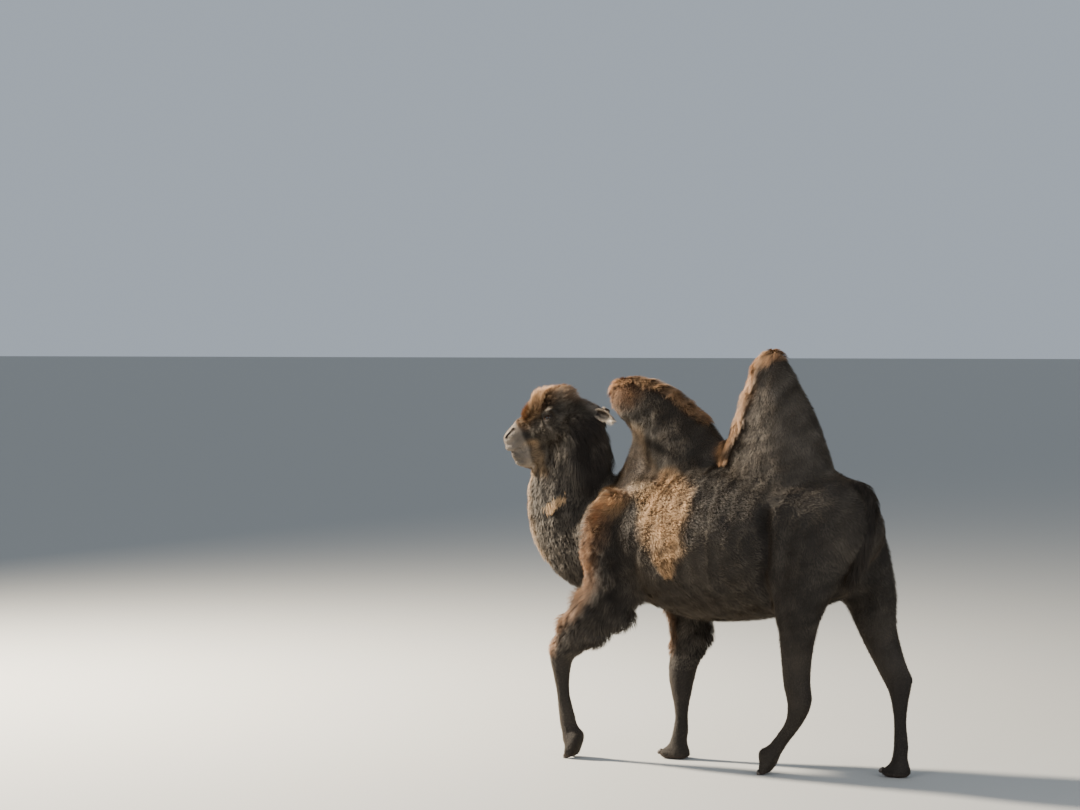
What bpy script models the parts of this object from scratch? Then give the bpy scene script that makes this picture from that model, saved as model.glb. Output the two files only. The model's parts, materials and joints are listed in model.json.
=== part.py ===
"""Bactrian camel, life size, walking with its head up and its front hump lolling forward.

The model's frame: +X towards the head, +Y to the animal's left, +Z up, in metres. The origin is the middle
of the ground under the animal's bounding box. The forms below are written in a working frame whose origin
lies on the ground under the belly, and the last step moves everything onto the model's origin.

Each body form is a loft: rings set square to a path, with a half depth and a half width at each station.
The lofts are fused by a voxel remesh, filleted by growing and shrinking, thinned, and then parted by thin
plates where a person would name a new part. The outer surface is the tips of the coat.
"""
import math

import bmesh
import bpy
import numpy as np
from mathutils import Euler, Matrix, Vector

# ---------------------------------------------------------------- driving dimensions
CUT = 0.0006               # width of the cut that parts two neighbours
GAP = 0.0005               # clearance between a piece and what it sits against
VOXEL = 0.016              # voxel of the fused body
FILLET = 0.022             # how far the body is grown and shrunk to fill its creases
BODY_TRIANGLES = 4450      # of the fused body, before it is parted
RING = 28                  # points round a loft
SPAN_STEPS = 5             # rings between two stations

HEAD_AT = Vector((0.835, 0.04, 1.812))    # middle of the cranium, between the ears
HEAD_YAW = math.radians(12.0)             # turned to the animal's left
HEAD_PITCH = math.radians(6.5)            # nose below the poll
EYE_RADIUS = 0.0215
EAR_LENGTH = 0.124
# From root to tip, and where the back of the ear faces, in the head's frame: one laid back, one held out.
EAR_LIES = {1: ((-0.86, 0.38, -0.30), (-0.25, -0.90, 0.10)), -1: ((0.30, -0.93, -0.08), (-0.90, -0.10, 0.15))}
EYE_SEAT = (0.236, 0.088, 0.058)          # forward, left and up from HEAD_AT, in the head's own frame

SIDES = {"left": 1.0, "right": -1.0}


# ---------------------------------------------------------------- small tools
def clear_scene():
    for old in list(bpy.data.objects):
        bpy.data.objects.remove(old, do_unlink=True)


def collection(name):
    made = bpy.data.collections.new(name)
    bpy.context.scene.collection.children.link(made)
    return made


def finish(name, colour, roughness):
    made = bpy.data.materials.new(name)
    made.use_nodes = True
    shader = made.node_tree.nodes["Principled BSDF"]
    shader.inputs["Base Color"].default_value = (*colour, 1.0)
    shader.inputs["Roughness"].default_value = roughness
    shader.inputs["Metallic"].default_value = 0.0
    return made


def smooth_path(rows, steps=SPAN_STEPS):
    """Catmull-Rom rows between the given ones, so that a loft passes through every station."""
    rows = np.asarray(rows, float)
    ends = np.vstack([2 * rows[0] - rows[1], rows, 2 * rows[-1] - rows[-2]])
    out = []
    for i in range(len(rows) - 1):
        a, b, c, d = ends[i:i + 4]
        for t in np.arange(steps) / steps:
            out.append(0.5 * (2 * b + (c - a) * t + (2 * a - 5 * b + 4 * c - d) * t * t
                              + (3 * b - a - 3 * c + d) * t ** 3))
    return np.array(out + [rows[-1]])


def loft(stations, side=(0.0, 1.0, 0.0), belly=0.0, ring=RING, steps=SPAN_STEPS):
    """A closed tube. A station is x, y, z, half depth, half width. belly moves the widest line down."""
    rows = smooth_path(stations, steps)
    rows[:, 3:] = np.maximum(rows[:, 3:], 0.004)
    centre = rows[:, :3]
    along = np.gradient(centre, axis=0)
    along /= np.linalg.norm(along, axis=1, keepdims=True)
    deep = np.cross(along, np.asarray(side, float))
    deep /= np.linalg.norm(deep, axis=1, keepdims=True)
    wide = np.cross(deep, along)
    turn = np.linspace(0, 2 * math.pi, ring, endpoint=False)
    up, out = np.sin(turn), np.cos(turn)
    mesh = bmesh.new()
    rings = []
    for c, d, w, row in zip(centre, deep, wide, rows):
        half_wide = row[4] * (1 - belly * up)
        points = c + np.outer(up * row[3], d) + np.outer(out * half_wide, w)
        rings.append([mesh.verts.new(p) for p in points])
    for near, far in zip(rings, rings[1:]):
        for i in range(ring):
            j = (i + 1) % ring
            mesh.faces.new((near[i], near[j], far[j], far[i]))
    mesh.faces.new(rings[0][::-1])
    mesh.faces.new(rings[-1])
    bmesh.ops.recalc_face_normals(mesh, faces=mesh.faces)
    return mesh


def ball(at, radii, turn=(0.0, 0.0, 0.0), segments=24):
    mesh = bmesh.new()
    bmesh.ops.create_uvsphere(mesh, u_segments=segments, v_segments=segments // 2 + 2, radius=1.0)
    place = Matrix.Translation(at) @ Euler(turn).to_matrix().to_4x4() @ Matrix.Diagonal((*radii, 1.0))
    bmesh.ops.transform(mesh, matrix=place, verts=mesh.verts)
    return mesh


def as_object(name, mesh, where):
    data = bpy.data.meshes.new(name)
    mesh.to_mesh(data)
    mesh.free()
    made = bpy.data.objects.new(name, data)
    where.objects.link(made)
    return made


def fused(name, forms, where):
    """All forms in one object, each still its own closed shell."""
    joined = bmesh.new()
    for form in forms:
        data = bpy.data.meshes.new("form")
        form.to_mesh(data)
        form.free()
        joined.from_mesh(data)
        bpy.data.meshes.remove(data)
    return as_object(name, joined, where)


def modified(obj, kind, **settings):
    made = obj.modifiers.new(kind.title(), kind)
    for key, value in settings.items():
        setattr(made, key, value)
    return made


def settle(obj):
    """Replaces the object's mesh by what its modifiers make of it."""
    graph = bpy.context.evaluated_depsgraph_get()
    data = bpy.data.meshes.new_from_object(obj.evaluated_get(graph))
    obj.modifiers.clear()
    obj.data = data
    return obj


def skinned(obj, voxel, fillet, passes):
    """Fuses the shells of obj, fills its creases to about the fillet's radius and smooths it."""
    modified(obj, "REMESH", mode="VOXEL", voxel_size=voxel)
    modified(obj, "DISPLACE", strength=fillet, mid_level=0.0)
    modified(obj, "REMESH", mode="VOXEL", voxel_size=voxel)
    modified(obj, "DISPLACE", strength=-fillet, mid_level=0.0)
    modified(obj, "REMESH", mode="VOXEL", voxel_size=voxel)
    modified(obj, "SMOOTH", factor=0.5, iterations=passes)
    return settle(obj)


def thinned(obj, triangles):
    """Collapses obj to about that many triangles, fewest where it is flattest."""
    count = sum(len(p.vertices) - 2 for p in obj.data.polygons)
    modified(obj, "DECIMATE", ratio=triangles / count, use_collapse_triangulate=True)
    return settle(obj)


# ---------------------------------------------------------------- trunk, humps, neck and tail
def trunk_forms():
    barrel = [(-0.800, 0, 1.20, 0.060, 0.070), (-0.755, 0, 1.215, 0.190, 0.170),
              (-0.64, 0, 1.230, 0.305, 0.245), (-0.45, 0, 1.232, 0.372, 0.295),
              (-0.25, 0, 1.220, 0.410, 0.340), (0.00, 0, 1.205, 0.435, 0.370),
              (0.22, 0, 1.200, 0.430, 0.365), (0.45, 0, 1.205, 0.380, 0.325),
              (0.65, 0, 1.190, 0.325, 0.265), (0.80, 0, 1.150, 0.255, 0.200),
              (0.90, 0, 1.110, 0.150, 0.120)]
    withers = ball((0.45, 0, 1.42), (0.27, 0.20, 0.20))
    croup = ball((-0.50, 0, 1.38), (0.265, 0.21, 0.205))
    brisket = ball((0.66, 0, 0.965), (0.17, 0.12, 0.12))
    return [loft(barrel, belly=0.10), withers, croup, brisket]


def hump_forms():
    rear = [(-0.245, 0, 1.36, 0.335, 0.235), (-0.235, 0, 1.52, 0.330, 0.205),
            (-0.235, 0, 1.66, 0.300, 0.165), (-0.230, 0, 1.80, 0.248, 0.140),
            (-0.215, 0, 1.94, 0.195, 0.115), (-0.205, 0, 2.07, 0.138, 0.090),
            (-0.205, 0, 2.165, 0.085, 0.062), (-0.208, 0, 2.222, 0.036, 0.030)]
    front = [(0.24, 0, 1.36, 0.300, 0.215), (0.28, 0, 1.52, 0.275, 0.180),
             (0.325, 0.005, 1.67, 0.245, 0.150), (0.400, 0.010, 1.79, 0.200, 0.128),
             (0.49, 0.015, 1.875, 0.175, 0.115), (0.59, 0.025, 1.935, 0.140, 0.102),
             (0.675, 0.030, 1.962, 0.108, 0.088), (0.732, 0.035, 1.965, 0.068, 0.058)]
    ridge = [(0.650, 0.02, 1.36, 0.120, 0.130), (0.614, 0.02, 1.45, 0.116, 0.125),
             (0.577, 0.02, 1.54, 0.104, 0.110), (0.554, 0.02, 1.62, 0.094, 0.095),
             (0.552, 0.02, 1.70, 0.083, 0.080), (0.575, 0.02, 1.77, 0.045, 0.050)]
    return [loft(rear), loft(front), loft(ridge)]


def neck_forms():
    column = [(0.52, 0, 1.26, 0.290, 0.190), (0.72, 0, 1.17, 0.285, 0.180),
              (0.885, 0.01, 1.145, 0.250, 0.160), (1.000, 0.025, 1.235, 0.225, 0.148),
              (1.035, 0.035, 1.37, 0.218, 0.140), (1.020, 0.045, 1.51, 0.212, 0.137),
              (0.970, 0.045, 1.64, 0.195, 0.130), (0.920, 0.04, 1.75, 0.155, 0.118)]
    mane = [(0.80, 0.02, 1.34, 0.060, 0.060), (0.835, 0.03, 1.45, 0.085, 0.085),
            (0.845, 0.035, 1.58, 0.095, 0.095), (0.850, 0.035, 1.71, 0.092, 0.095),
            (0.860, 0.035, 1.82, 0.075, 0.090)]
    return [loft(column, belly=-0.12), loft(mane)]


def tail_form():
    dock = [(-0.660, 0.000, 1.500, 0.055, 0.050), (-0.735, 0.010, 1.470, 0.050, 0.046),
            (-0.776, 0.035, 1.400, 0.043, 0.041), (-0.782, 0.075, 1.310, 0.045, 0.042),
            (-0.764, 0.105, 1.215, 0.047, 0.044), (-0.728, 0.125, 1.130, 0.043, 0.041),
            (-0.694, 0.138, 1.078, 0.031, 0.031), (-0.672, 0.146, 1.035, 0.010, 0.010)]
    return loft(dock, ring=10, steps=2)


# ---------------------------------------------------------------- legs
# A leg's joints from the body down: x, y, z, half depth fore and aft, half width.
FORELEG_LEFT = [(0.60, 0.155, 1.44, 0.120, 0.080), (0.70, 0.185, 1.24, 0.165, 0.110),
                (0.625, 0.205, 0.99, 0.180, 0.115), (0.775, 0.190, 0.790, 0.135, 0.105),
                (0.890, 0.172, 0.675, 0.108, 0.090), (0.975, 0.155, 0.580, 0.082, 0.070),
                (0.988, 0.145, 0.480, 0.058, 0.050), (0.982, 0.136, 0.350, 0.043, 0.037),
                (0.962, 0.130, 0.225, 0.050, 0.045), (0.945, 0.129, 0.150, 0.050, 0.048),
                (0.915, 0.129, 0.095, 0.040, 0.048)]
FORELEG_RIGHT = [(0.58, -0.155, 1.44, 0.120, 0.080), (0.66, -0.185, 1.22, 0.160, 0.110),
                 (0.47, -0.205, 0.98, 0.170, 0.112), (0.385, -0.192, 0.790, 0.140, 0.102),
                 (0.375, -0.178, 0.650, 0.125, 0.090), (0.395, -0.163, 0.540, 0.090, 0.075),
                 (0.405, -0.150, 0.450, 0.080, 0.068), (0.402, -0.140, 0.350, 0.062, 0.050),
                 (0.398, -0.133, 0.240, 0.042, 0.038), (0.400, -0.128, 0.150, 0.048, 0.045),
                 (0.420, -0.126, 0.080, 0.046, 0.048)]
HINDLEG_LEFT = [(-0.50, 0.150, 1.32, 0.235, 0.110), (-0.48, 0.180, 1.09, 0.195, 0.128),
                (-0.445, 0.200, 0.89, 0.150, 0.110), (-0.435, 0.188, 0.770, 0.112, 0.092),
                (-0.420, 0.168, 0.630, 0.090, 0.075), (-0.415, 0.152, 0.500, 0.080, 0.060),
                (-0.425, 0.143, 0.385, 0.072, 0.054), (-0.392, 0.136, 0.285, 0.050, 0.043),
                (-0.335, 0.130, 0.205, 0.042, 0.038), (-0.290, 0.127, 0.145, 0.044, 0.043),
                (-0.262, 0.126, 0.095, 0.036, 0.044)]
HINDLEG_RIGHT = [(-0.52, -0.150, 1.32, 0.235, 0.110), (-0.612, -0.180, 1.10, 0.192, 0.128),
                 (-0.680, -0.192, 0.92, 0.154, 0.110), (-0.727, -0.178, 0.760, 0.112, 0.090),
                 (-0.795, -0.160, 0.610, 0.088, 0.070), (-0.855, -0.146, 0.490, 0.076, 0.056),
                 (-0.868, -0.138, 0.390, 0.052, 0.045), (-0.872, -0.131, 0.280, 0.040, 0.036),
                 (-0.880, -0.126, 0.155, 0.045, 0.043), (-0.868, -0.124, 0.080, 0.044, 0.046)]
LEGS = {"foreleg_left": FORELEG_LEFT, "foreleg_right": FORELEG_RIGHT,
        "hindleg_left": HINDLEG_LEFT, "hindleg_right": HINDLEG_RIGHT}

# A foot: the middle of its sole, half length, half width, toe-out and nose-down pitch in degrees. Both left
# feet are on their way forward and hang on the tips of their toes.
FEET = {"foreleg_left": ((0.885, 0.130, 0.0660), 0.092, 0.078, 4.0, 66.0),
        "foreleg_right": ((0.425, -0.126, 0.0), 0.092, 0.078, -4.0, 0.0),
        "hindleg_left": ((-0.275, 0.126, 0.0500), 0.086, 0.070, 5.0, 56.0),
        "hindleg_right": ((-0.862, -0.124, 0.0), 0.086, 0.070, -5.0, 0.0)}
PAD_HEIGHT = 0.033
TOE_HEIGHT = 0.035
TOE_SPREAD = 0.50          # share of the half width between a toe's middle and the foot's middle
TOE_REACH = 0.46           # share of the half length between a toe's middle and the foot's middle


def foot_place(leg):
    at, length, width, out, pitch = FEET[leg]
    turn = Euler((0, math.radians(pitch), math.radians(out)))
    return Matrix.Translation(at) @ turn.to_matrix().to_4x4(), length, width


def foot_forms(leg):
    """A broad pad, two toes side by side in front and the pastern over them."""
    place, length, width = foot_place(leg)
    pad = ball((-0.10 * length, 0, PAD_HEIGHT * 0.75), (0.86 * length, 0.94 * width, PAD_HEIGHT))
    forms = [pad, ball((-0.18 * length, 0, 0.064), (0.62 * length, 0.66 * width, 0.050))]
    for side in SIDES.values():
        forms.append(ball((TOE_REACH * length, side * TOE_SPREAD * width, 0.8 * TOE_HEIGHT),
                          (0.56 * length, 0.46 * width, TOE_HEIGHT)))
    for form in forms:
        bmesh.ops.transform(form, matrix=place, verts=form.verts)
    return forms


def leg_forms():
    forms = []
    for leg, joints in LEGS.items():
        forms.append(loft(joints))
        forms += foot_forms(leg)
    for x, z, side, reach in ((0.590, 0.885, 1, 0.110), (0.600, 0.795, 1, 0.102), (0.775, 0.715, 1, 0.125),
                              (0.838, 0.866, 1, 0.086), (0.908, 0.740, 1, 0.086), (0.400, 0.895, -1, 0.105),
                              (0.335, 0.695, -1, 0.114)):     # wool round the forearms
        forms.append(ball((x, side * 0.19, z), (reach, 0.078, 0.95 * reach)))
    for x, z, side in ((-0.475, 0.410, 1), (-0.915, 0.505, -1)):      # point of the hock
        forms.append(ball((x, side * 0.142, z), (0.030, 0.030, 0.045)))
    return forms


# ---------------------------------------------------------------- head
def head_place():
    return Matrix.Translation(HEAD_AT) @ Euler((0, HEAD_PITCH, HEAD_YAW)).to_matrix().to_4x4()


def head_forms():
    """Skull, muzzle, cheeks, brows, lips and the hair of crown and throat, nose towards +X."""
    skull = [(-0.045, 0, -0.005, 0.060, 0.060), (-0.02, 0, 0.00, 0.095, 0.090),
             (0.05, 0, 0.005, 0.116, 0.108), (0.13, 0, 0.005, 0.118, 0.108),
             (0.22, 0, 0.002, 0.104, 0.098), (0.30, 0, -0.008, 0.086, 0.075),
             (0.38, 0, -0.018, 0.074, 0.060), (0.45, 0, -0.030, 0.074, 0.061),
             (0.50, 0, -0.045, 0.058, 0.054), (0.528, 0, -0.055, 0.030, 0.034)]
    jaw = [(0.03, 0, -0.105, 0.052, 0.072), (0.14, 0, -0.125, 0.055, 0.070),
           (0.26, 0, -0.128, 0.042, 0.050), (0.37, 0, -0.138, 0.034, 0.041),
           (0.44, 0, -0.146, 0.036, 0.043), (0.485, 0, -0.146, 0.022, 0.029)]
    crown = [(0.460, 0, 0.032, 0.022, 0.038), (0.395, 0, 0.062, 0.050, 0.056),
             (0.335, 0, 0.100, 0.074, 0.072), (0.265, 0, 0.135, 0.087, 0.086),
             (0.190, 0, 0.148, 0.083, 0.087), (0.150, 0, 0.134, 0.076, 0.080),
             (0.112, 0, 0.104, 0.066, 0.068), (0.050, 0, 0.084, 0.058, 0.068),
             (-0.010, 0, 0.044, 0.047, 0.062)]
    throat = [(0.22, 0, -0.140, 0.035, 0.045), (0.15, 0, -0.165, 0.060, 0.062),
              (0.09, 0, -0.205, 0.085, 0.078), (0.06, 0, -0.260, 0.095, 0.085)]
    forms = [loft(skull, steps=4), loft(jaw, steps=4), loft(crown, steps=3), loft(throat, steps=3)]
    for side in SIDES.values():
        forms.append(ball((0.225, side * 0.082, 0.078), (0.052, 0.030, 0.024), (0, 0.15, -0.12 * side)))
        forms.append(ball((0.115, side * 0.070, -0.055), (0.095, 0.050, 0.080)))
        forms.append(ball((0.475, side * 0.030, -0.078), (0.045, 0.028, 0.036)))
    for form in forms:
        bmesh.ops.transform(form, matrix=head_place(), verts=form.verts)
    return forms


def ear_form(side):
    """A short leaf, hollow on the face away from its back."""
    leaf = ball((0, 0, 0), (0.030, 0.014, EAR_LENGTH / 2), segments=14)
    for vertex in leaf.verts:
        x, y, z = vertex.co
        hollow = max(0.0, 1 - (x / 0.024) ** 2 - ((z - 0.008) / 0.050) ** 2)
        if y < 0:
            vertex.co.y += 0.016 * hollow
    along, back = (Vector(way) for way in EAR_LIES[side])
    along.normalize()
    back = (back - back.project(along)).normalized()
    turn = Matrix((back.cross(along), back, along)).transposed().to_4x4()
    root = Vector((-0.020, side * 0.102, 0.060))
    place = head_place() @ Matrix.Translation(root + along * EAR_LENGTH / 2) @ turn
    bmesh.ops.transform(leaf, matrix=place, verts=leaf.verts)
    return leaf


def eye_form(side, radius=EYE_RADIUS):
    forward, out, up = EYE_SEAT
    return ball(head_place() @ Vector((forward, side * out, up)), (radius,) * 3, segments=12)


def nail_form(leg, side):
    place, length, width = foot_place(leg)
    nail = ball((0, 0, 0), (0.021, 0.016, 0.013), (0, math.radians(42), 0), segments=8)
    reach = (TOE_REACH + 0.40) * length
    tip = Matrix.Translation((reach, side * TOE_SPREAD * width, 1.02 * TOE_HEIGHT))
    bmesh.ops.transform(nail, matrix=place @ tip, verts=nail.verts)
    return nail


# ---------------------------------------------------------------- parting
# A plate: its ends x, z and x, z as seen from the side, its middle y and half its run across the animal.
JAW_PLATES = [(0.160, -0.108, 0.560, -0.108, 0.0, 0.16), (0.160, -0.107, 0.160, -0.195, 0.0, 0.16)]
BODY_PLATES = [
    (0.700, 1.700, 1.262, 1.524, 0.04, 0.26),       # under the head
    (0.6763, 1.630, 0.975, 0.810, 0.00, 0.32),       # neck and chest
    (-0.660, 1.630, 0.715, 1.630, 0.00, 0.35),      # under both humps
    (0.060, 2.050, 0.060, 0.500, 0.00, 0.50)]       # the saddle, down to the belly
LEG_PLATES = {
    "foreleg_left": [(0.460, 0.790, 1.030, 0.790, 0.195, 0.165), (0.865, 0.530, 1.105, 0.530, 0.150, 0.120),
                     (0.820, 0.190, 1.060, 0.190, 0.130, 0.120)],
    "foreleg_right": [(0.165, 0.735, 0.605, 0.735, -0.195, 0.165),
                      (0.285, 0.430, 0.525, 0.430, -0.150, 0.120),
                      (0.285, 0.125, 0.525, 0.125, -0.130, 0.120)],
    "hindleg_left": [(-0.640, 0.790, -0.240, 0.790, 0.190, 0.165),
                     (-0.496, 0.243, -0.304, 0.387, 0.140, 0.120),
                     (-0.405, 0.115, -0.235, 0.220, 0.130, 0.110)],
    "hindleg_right": [(-0.920, 0.790, -0.520, 0.790, -0.190, 0.165),
                      (-0.985, 0.420, -0.745, 0.420, -0.140, 0.120),
                      (-0.990, 0.125, -0.760, 0.125, -0.125, 0.120)]}
LEG_SECTIONS = {"fore": ("forearm", "cannon", "foot"), "hind": ("gaskin", "cannon", "foot")}


def plate(x0, z0, x1, z1, y, across, place=Matrix()):
    """A thin box from one end to the other, square to the side view."""
    run = Vector((x1 - x0, 0, z1 - z0))
    middle_at = Vector(((x0 + x1) / 2, y, (z0 + z1) / 2))
    turn = Euler((0, -math.atan2(run.z, run.x), 0)).to_matrix().to_4x4()
    mesh = bmesh.new()
    bmesh.ops.create_cube(mesh, size=2.0)
    size = Matrix.Diagonal((run.length / 2, across, CUT / 2, 1.0))
    bmesh.ops.transform(mesh, matrix=place @ Matrix.Translation(middle_at) @ turn @ size, verts=mesh.verts)
    return mesh


def carved(obj, mesh, cutters, operation="DIFFERENCE"):
    cutter = as_object("cutter", mesh, cutters)
    modified(obj, "BOOLEAN", operation=operation, object=cutter)
    settle(obj)
    bpy.data.objects.remove(cutter)
    return obj


def shells(obj):
    """The separate closed shells of obj, each as a bmesh."""
    mesh = bmesh.new()
    mesh.from_mesh(obj.data)
    left = set(mesh.verts)
    groups = []
    while left:
        reach = [left.pop()]
        group = set(reach)
        while reach:
            for edge in reach.pop().link_edges:
                for vertex in edge.verts:
                    if vertex not in group:
                        group.add(vertex)
                        left.discard(vertex)
                        reach.append(vertex)
        groups.append([vertex.index for vertex in group])
    mesh.free()
    out = []
    for group in groups:
        part = bmesh.new()
        part.from_mesh(obj.data)
        part.verts.ensure_lookup_table()
        keep = set(group)
        bmesh.ops.delete(part, geom=[v for v in part.verts if v.index not in keep], context="VERTS")
        out.append(part)
    return out


def middle(mesh):
    """The middle of a shell's bounding box."""
    points = np.array([v.co for v in mesh.verts])
    return Vector((points.min(axis=0) + points.max(axis=0)) / 2)


def seeds():
    """Where the middle of each parted piece lies, near enough to tell them apart."""
    rows = {"head": head_place() @ Vector((0.22, 0, 0.02)), "jaw": head_place() @ Vector((0.34, 0, -0.12)),
            "neck": (0.97, 0.03, 1.25), "chest": (0.42, 0, 1.20), "hindquarters": (-0.38, 0, 1.20),
            "hump_front": (0.42, 0.03, 1.83), "hump_rear": (-0.24, 0, 1.93)}
    for leg, plates in LEG_PLATES.items():
        top, knee, fetlock = (Vector(((x0 + x1) / 2, y, (z0 + z1) / 2)) for x0, z0, x1, z1, y, _ in plates)
        sole = Vector(FEET[leg][0])
        spots = ((top + knee) / 2, (knee + fetlock) / 2, sole + Vector((0, 0, 0.06)))
        for section, spot in zip(LEG_SECTIONS[leg[:4]], spots):
            rows[f"{leg}_{section}"] = spot
    return {name: Vector(spot) for name, spot in rows.items()}


def named_shells(obj, where):
    """Parts obj into its shells, each named for the nearest seed."""
    found = {}
    for mesh in shells(obj):
        centre = middle(mesh)
        name, _ = min(seeds().items(), key=lambda row: (row[1] - centre).length)
        if name in found:
            raise ValueError(f"two shells are nearest to {name}: {tuple(round(c, 3) for c in centre)}")
        found[name] = as_object(name, mesh, where)
    missing = set(seeds()) - set(found)
    if missing:
        raise ValueError(f"no shell is nearest to {sorted(missing)}")
    return found


def grown(obj, by):
    """A copy of obj's surface, moved out by a clearance."""
    mesh = bmesh.new()
    mesh.from_mesh(obj.data)
    mesh.normal_update()
    for vertex in mesh.verts:
        vertex.co += vertex.normal * by
    return mesh


def seated(name, form, host, where, cutters):
    """A piece that sits on its host: what would lie inside the host is taken off the piece."""
    piece = as_object(name, form, where)
    carved(piece, grown(host, GAP), cutters)
    largest = max(shells(piece), key=lambda mesh: len(mesh.verts))
    bpy.data.objects.remove(piece)
    return as_object(name, largest, where)


def ground():
    mesh = bmesh.new()
    bmesh.ops.create_cube(mesh, size=2.0)
    place = Matrix.Translation((0, 0, -0.5)) @ Matrix.Diagonal((3.0, 2.0, 0.5, 1.0))
    bmesh.ops.transform(mesh, matrix=place, verts=mesh.verts)
    return mesh


# ---------------------------------------------------------------- the whole animal
def body(where, cutters):
    forms = trunk_forms() + hump_forms() + neck_forms() + leg_forms() + head_forms()
    whole = fused("body", forms, where)
    skinned(whole, VOXEL, FILLET, passes=2)
    thinned(whole, BODY_TRIANGLES)
    carved(whole, ground(), cutters)
    return whole


def main():
    clear_scene()
    where = collection("bactrian_camel")
    cutters = collection("cutters")
    whole = body(where, cutters)
    uncut = as_object("uncut", grown(whole, 0.0), cutters)
    for row in BODY_PLATES + [row for rows in LEG_PLATES.values() for row in rows]:
        carved(whole, plate(*row), cutters)
    for row in JAW_PLATES:
        carved(whole, plate(*row, head_place()), cutters)
    pieces = named_shells(whole, where)
    bpy.data.objects.remove(whole)
    for side_name, side in SIDES.items():
        carved(pieces["head"], eye_form(side, EYE_RADIUS + GAP), cutters)
        name = f"eye_{side_name}"
        pieces[name] = as_object(name, eye_form(side), where)
        name = f"ear_{side_name}"
        pieces[name] = seated(name, ear_form(side), uncut, where, cutters)
    pieces["tail"] = seated("tail", tail_form(), uncut, where, cutters)
    for leg in LEGS:
        for place, side in (("outer", 1), ("inner", -1)):
            toe = side if "left" in leg else -side
            name = f"nail_{leg}_{place}"
            pieces[name] = seated(name, nail_form(leg, toe), uncut, where, cutters)
            if FEET[leg][4]:
                carved(pieces[name], ground(), cutters)
    bpy.data.objects.remove(uncut)
    dress(pieces)
    stand(pieces, where)


def dress(pieces):
    """A finish for each kind of piece."""
    coat = finish("dark_coat", (0.055, 0.032, 0.022), 0.85)
    crest = finish("rusty_crest", (0.120, 0.055, 0.030), 0.85)
    face = finish("pale_face", (0.300, 0.210, 0.150), 0.75)
    horn = finish("nail_horn", (0.060, 0.050, 0.045), 0.45)
    glass = finish("eye_surface", (0.012, 0.009, 0.008), 0.08)
    kinds = {"eye": glass, "nail": horn, "ear": face, "jaw": face, "hump": crest}
    for name, piece in pieces.items():
        piece.data.materials.clear()
        piece.data.materials.append(kinds.get(name.split("_")[0], coat))
        piece.data.shade_smooth()


def stand(pieces, where):
    """Hangs every piece on one empty, and moves that so the origin is under the bounding box."""
    root = bpy.data.objects.new("stance", None)
    where.objects.link(root)
    points = np.array([v.co for piece in pieces.values() for v in piece.data.vertices])
    low, high = points.min(axis=0), points.max(axis=0)
    for piece in pieces.values():
        piece.parent = root
    root.location = (-(low[0] + high[0]) / 2, -(low[1] + high[1]) / 2, -low[2])
    bpy.context.view_layer.update()


main()
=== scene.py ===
# %% [markdown]
# # A bactrian camel in its winter coat
#
# This file dresses a solid model of a camel that another program packed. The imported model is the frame: it
# says how big the animal is and where each part lies. Here the plain solids are replaced by one skin with
# eyelids, nostrils and toes, and the skin is covered in a coat of mesh tufts that lie as camel hair lies.

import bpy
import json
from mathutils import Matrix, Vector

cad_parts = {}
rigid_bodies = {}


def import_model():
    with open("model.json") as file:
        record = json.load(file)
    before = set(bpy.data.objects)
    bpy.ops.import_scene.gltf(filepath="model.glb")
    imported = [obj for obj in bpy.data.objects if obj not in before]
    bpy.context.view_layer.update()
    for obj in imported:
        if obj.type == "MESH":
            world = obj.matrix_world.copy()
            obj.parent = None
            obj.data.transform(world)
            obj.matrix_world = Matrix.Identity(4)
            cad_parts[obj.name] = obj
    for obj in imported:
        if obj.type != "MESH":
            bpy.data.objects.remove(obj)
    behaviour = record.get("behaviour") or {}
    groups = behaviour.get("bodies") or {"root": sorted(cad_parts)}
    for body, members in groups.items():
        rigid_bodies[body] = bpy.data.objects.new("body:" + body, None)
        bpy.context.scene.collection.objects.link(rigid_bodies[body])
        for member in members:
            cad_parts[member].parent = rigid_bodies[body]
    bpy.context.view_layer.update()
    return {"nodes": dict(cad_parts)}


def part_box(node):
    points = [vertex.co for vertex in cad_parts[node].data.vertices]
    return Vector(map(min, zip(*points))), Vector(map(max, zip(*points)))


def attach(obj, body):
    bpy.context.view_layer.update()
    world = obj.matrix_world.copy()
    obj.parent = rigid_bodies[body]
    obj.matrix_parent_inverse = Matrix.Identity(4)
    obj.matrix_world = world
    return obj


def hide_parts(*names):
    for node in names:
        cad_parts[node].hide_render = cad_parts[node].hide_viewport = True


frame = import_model()

# %% [markdown]
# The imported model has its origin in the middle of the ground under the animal. The numbers below are easier
# to read from a point under the belly, so everything is first made there, in a working frame, and moved over
# by one shift at the end. The left eye is a ball whose middle is known in both frames, so it gives the shift.

# %% Working frame and head frame
import json
import math

import bmesh
import bpy
import numpy as np
from mathutils import Euler, Matrix, Vector
from mathutils.bvhtree import BVHTree
from mathutils.kdtree import KDTree

rng = np.random.default_rng(20)
HEAD_AT = Vector((0.835, 0.04, 1.812))     # middle of the cranium
HEAD_YAW = math.radians(12.0)              # turned to the animal's left
HEAD_PITCH = math.radians(6.5)             # nose below the poll
HEAD = Matrix.Translation(HEAD_AT) @ Euler((0, HEAD_PITCH, HEAD_YAW)).to_matrix().to_4x4()
HEAD_TURN = np.array(HEAD.to_3x3())
EYE_SEAT = (0.236, 0.088, 0.058)           # forward, left and up in the head's own frame
EYE_RADIUS = 0.0215
SIDES = {"left": 1.0, "right": -1.0}

low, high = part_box("eye_left")
SHIFT = (Vector(low) + Vector(high)) / 2 - HEAD @ Vector(EYE_SEAT)
print("working frame to packed frame:", tuple(round(v, 4) for v in SHIFT))


def to_head(points):
    """Working frame to the head's own frame."""
    return (np.asarray(points) - np.array(HEAD_AT)) @ HEAD_TURN


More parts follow.
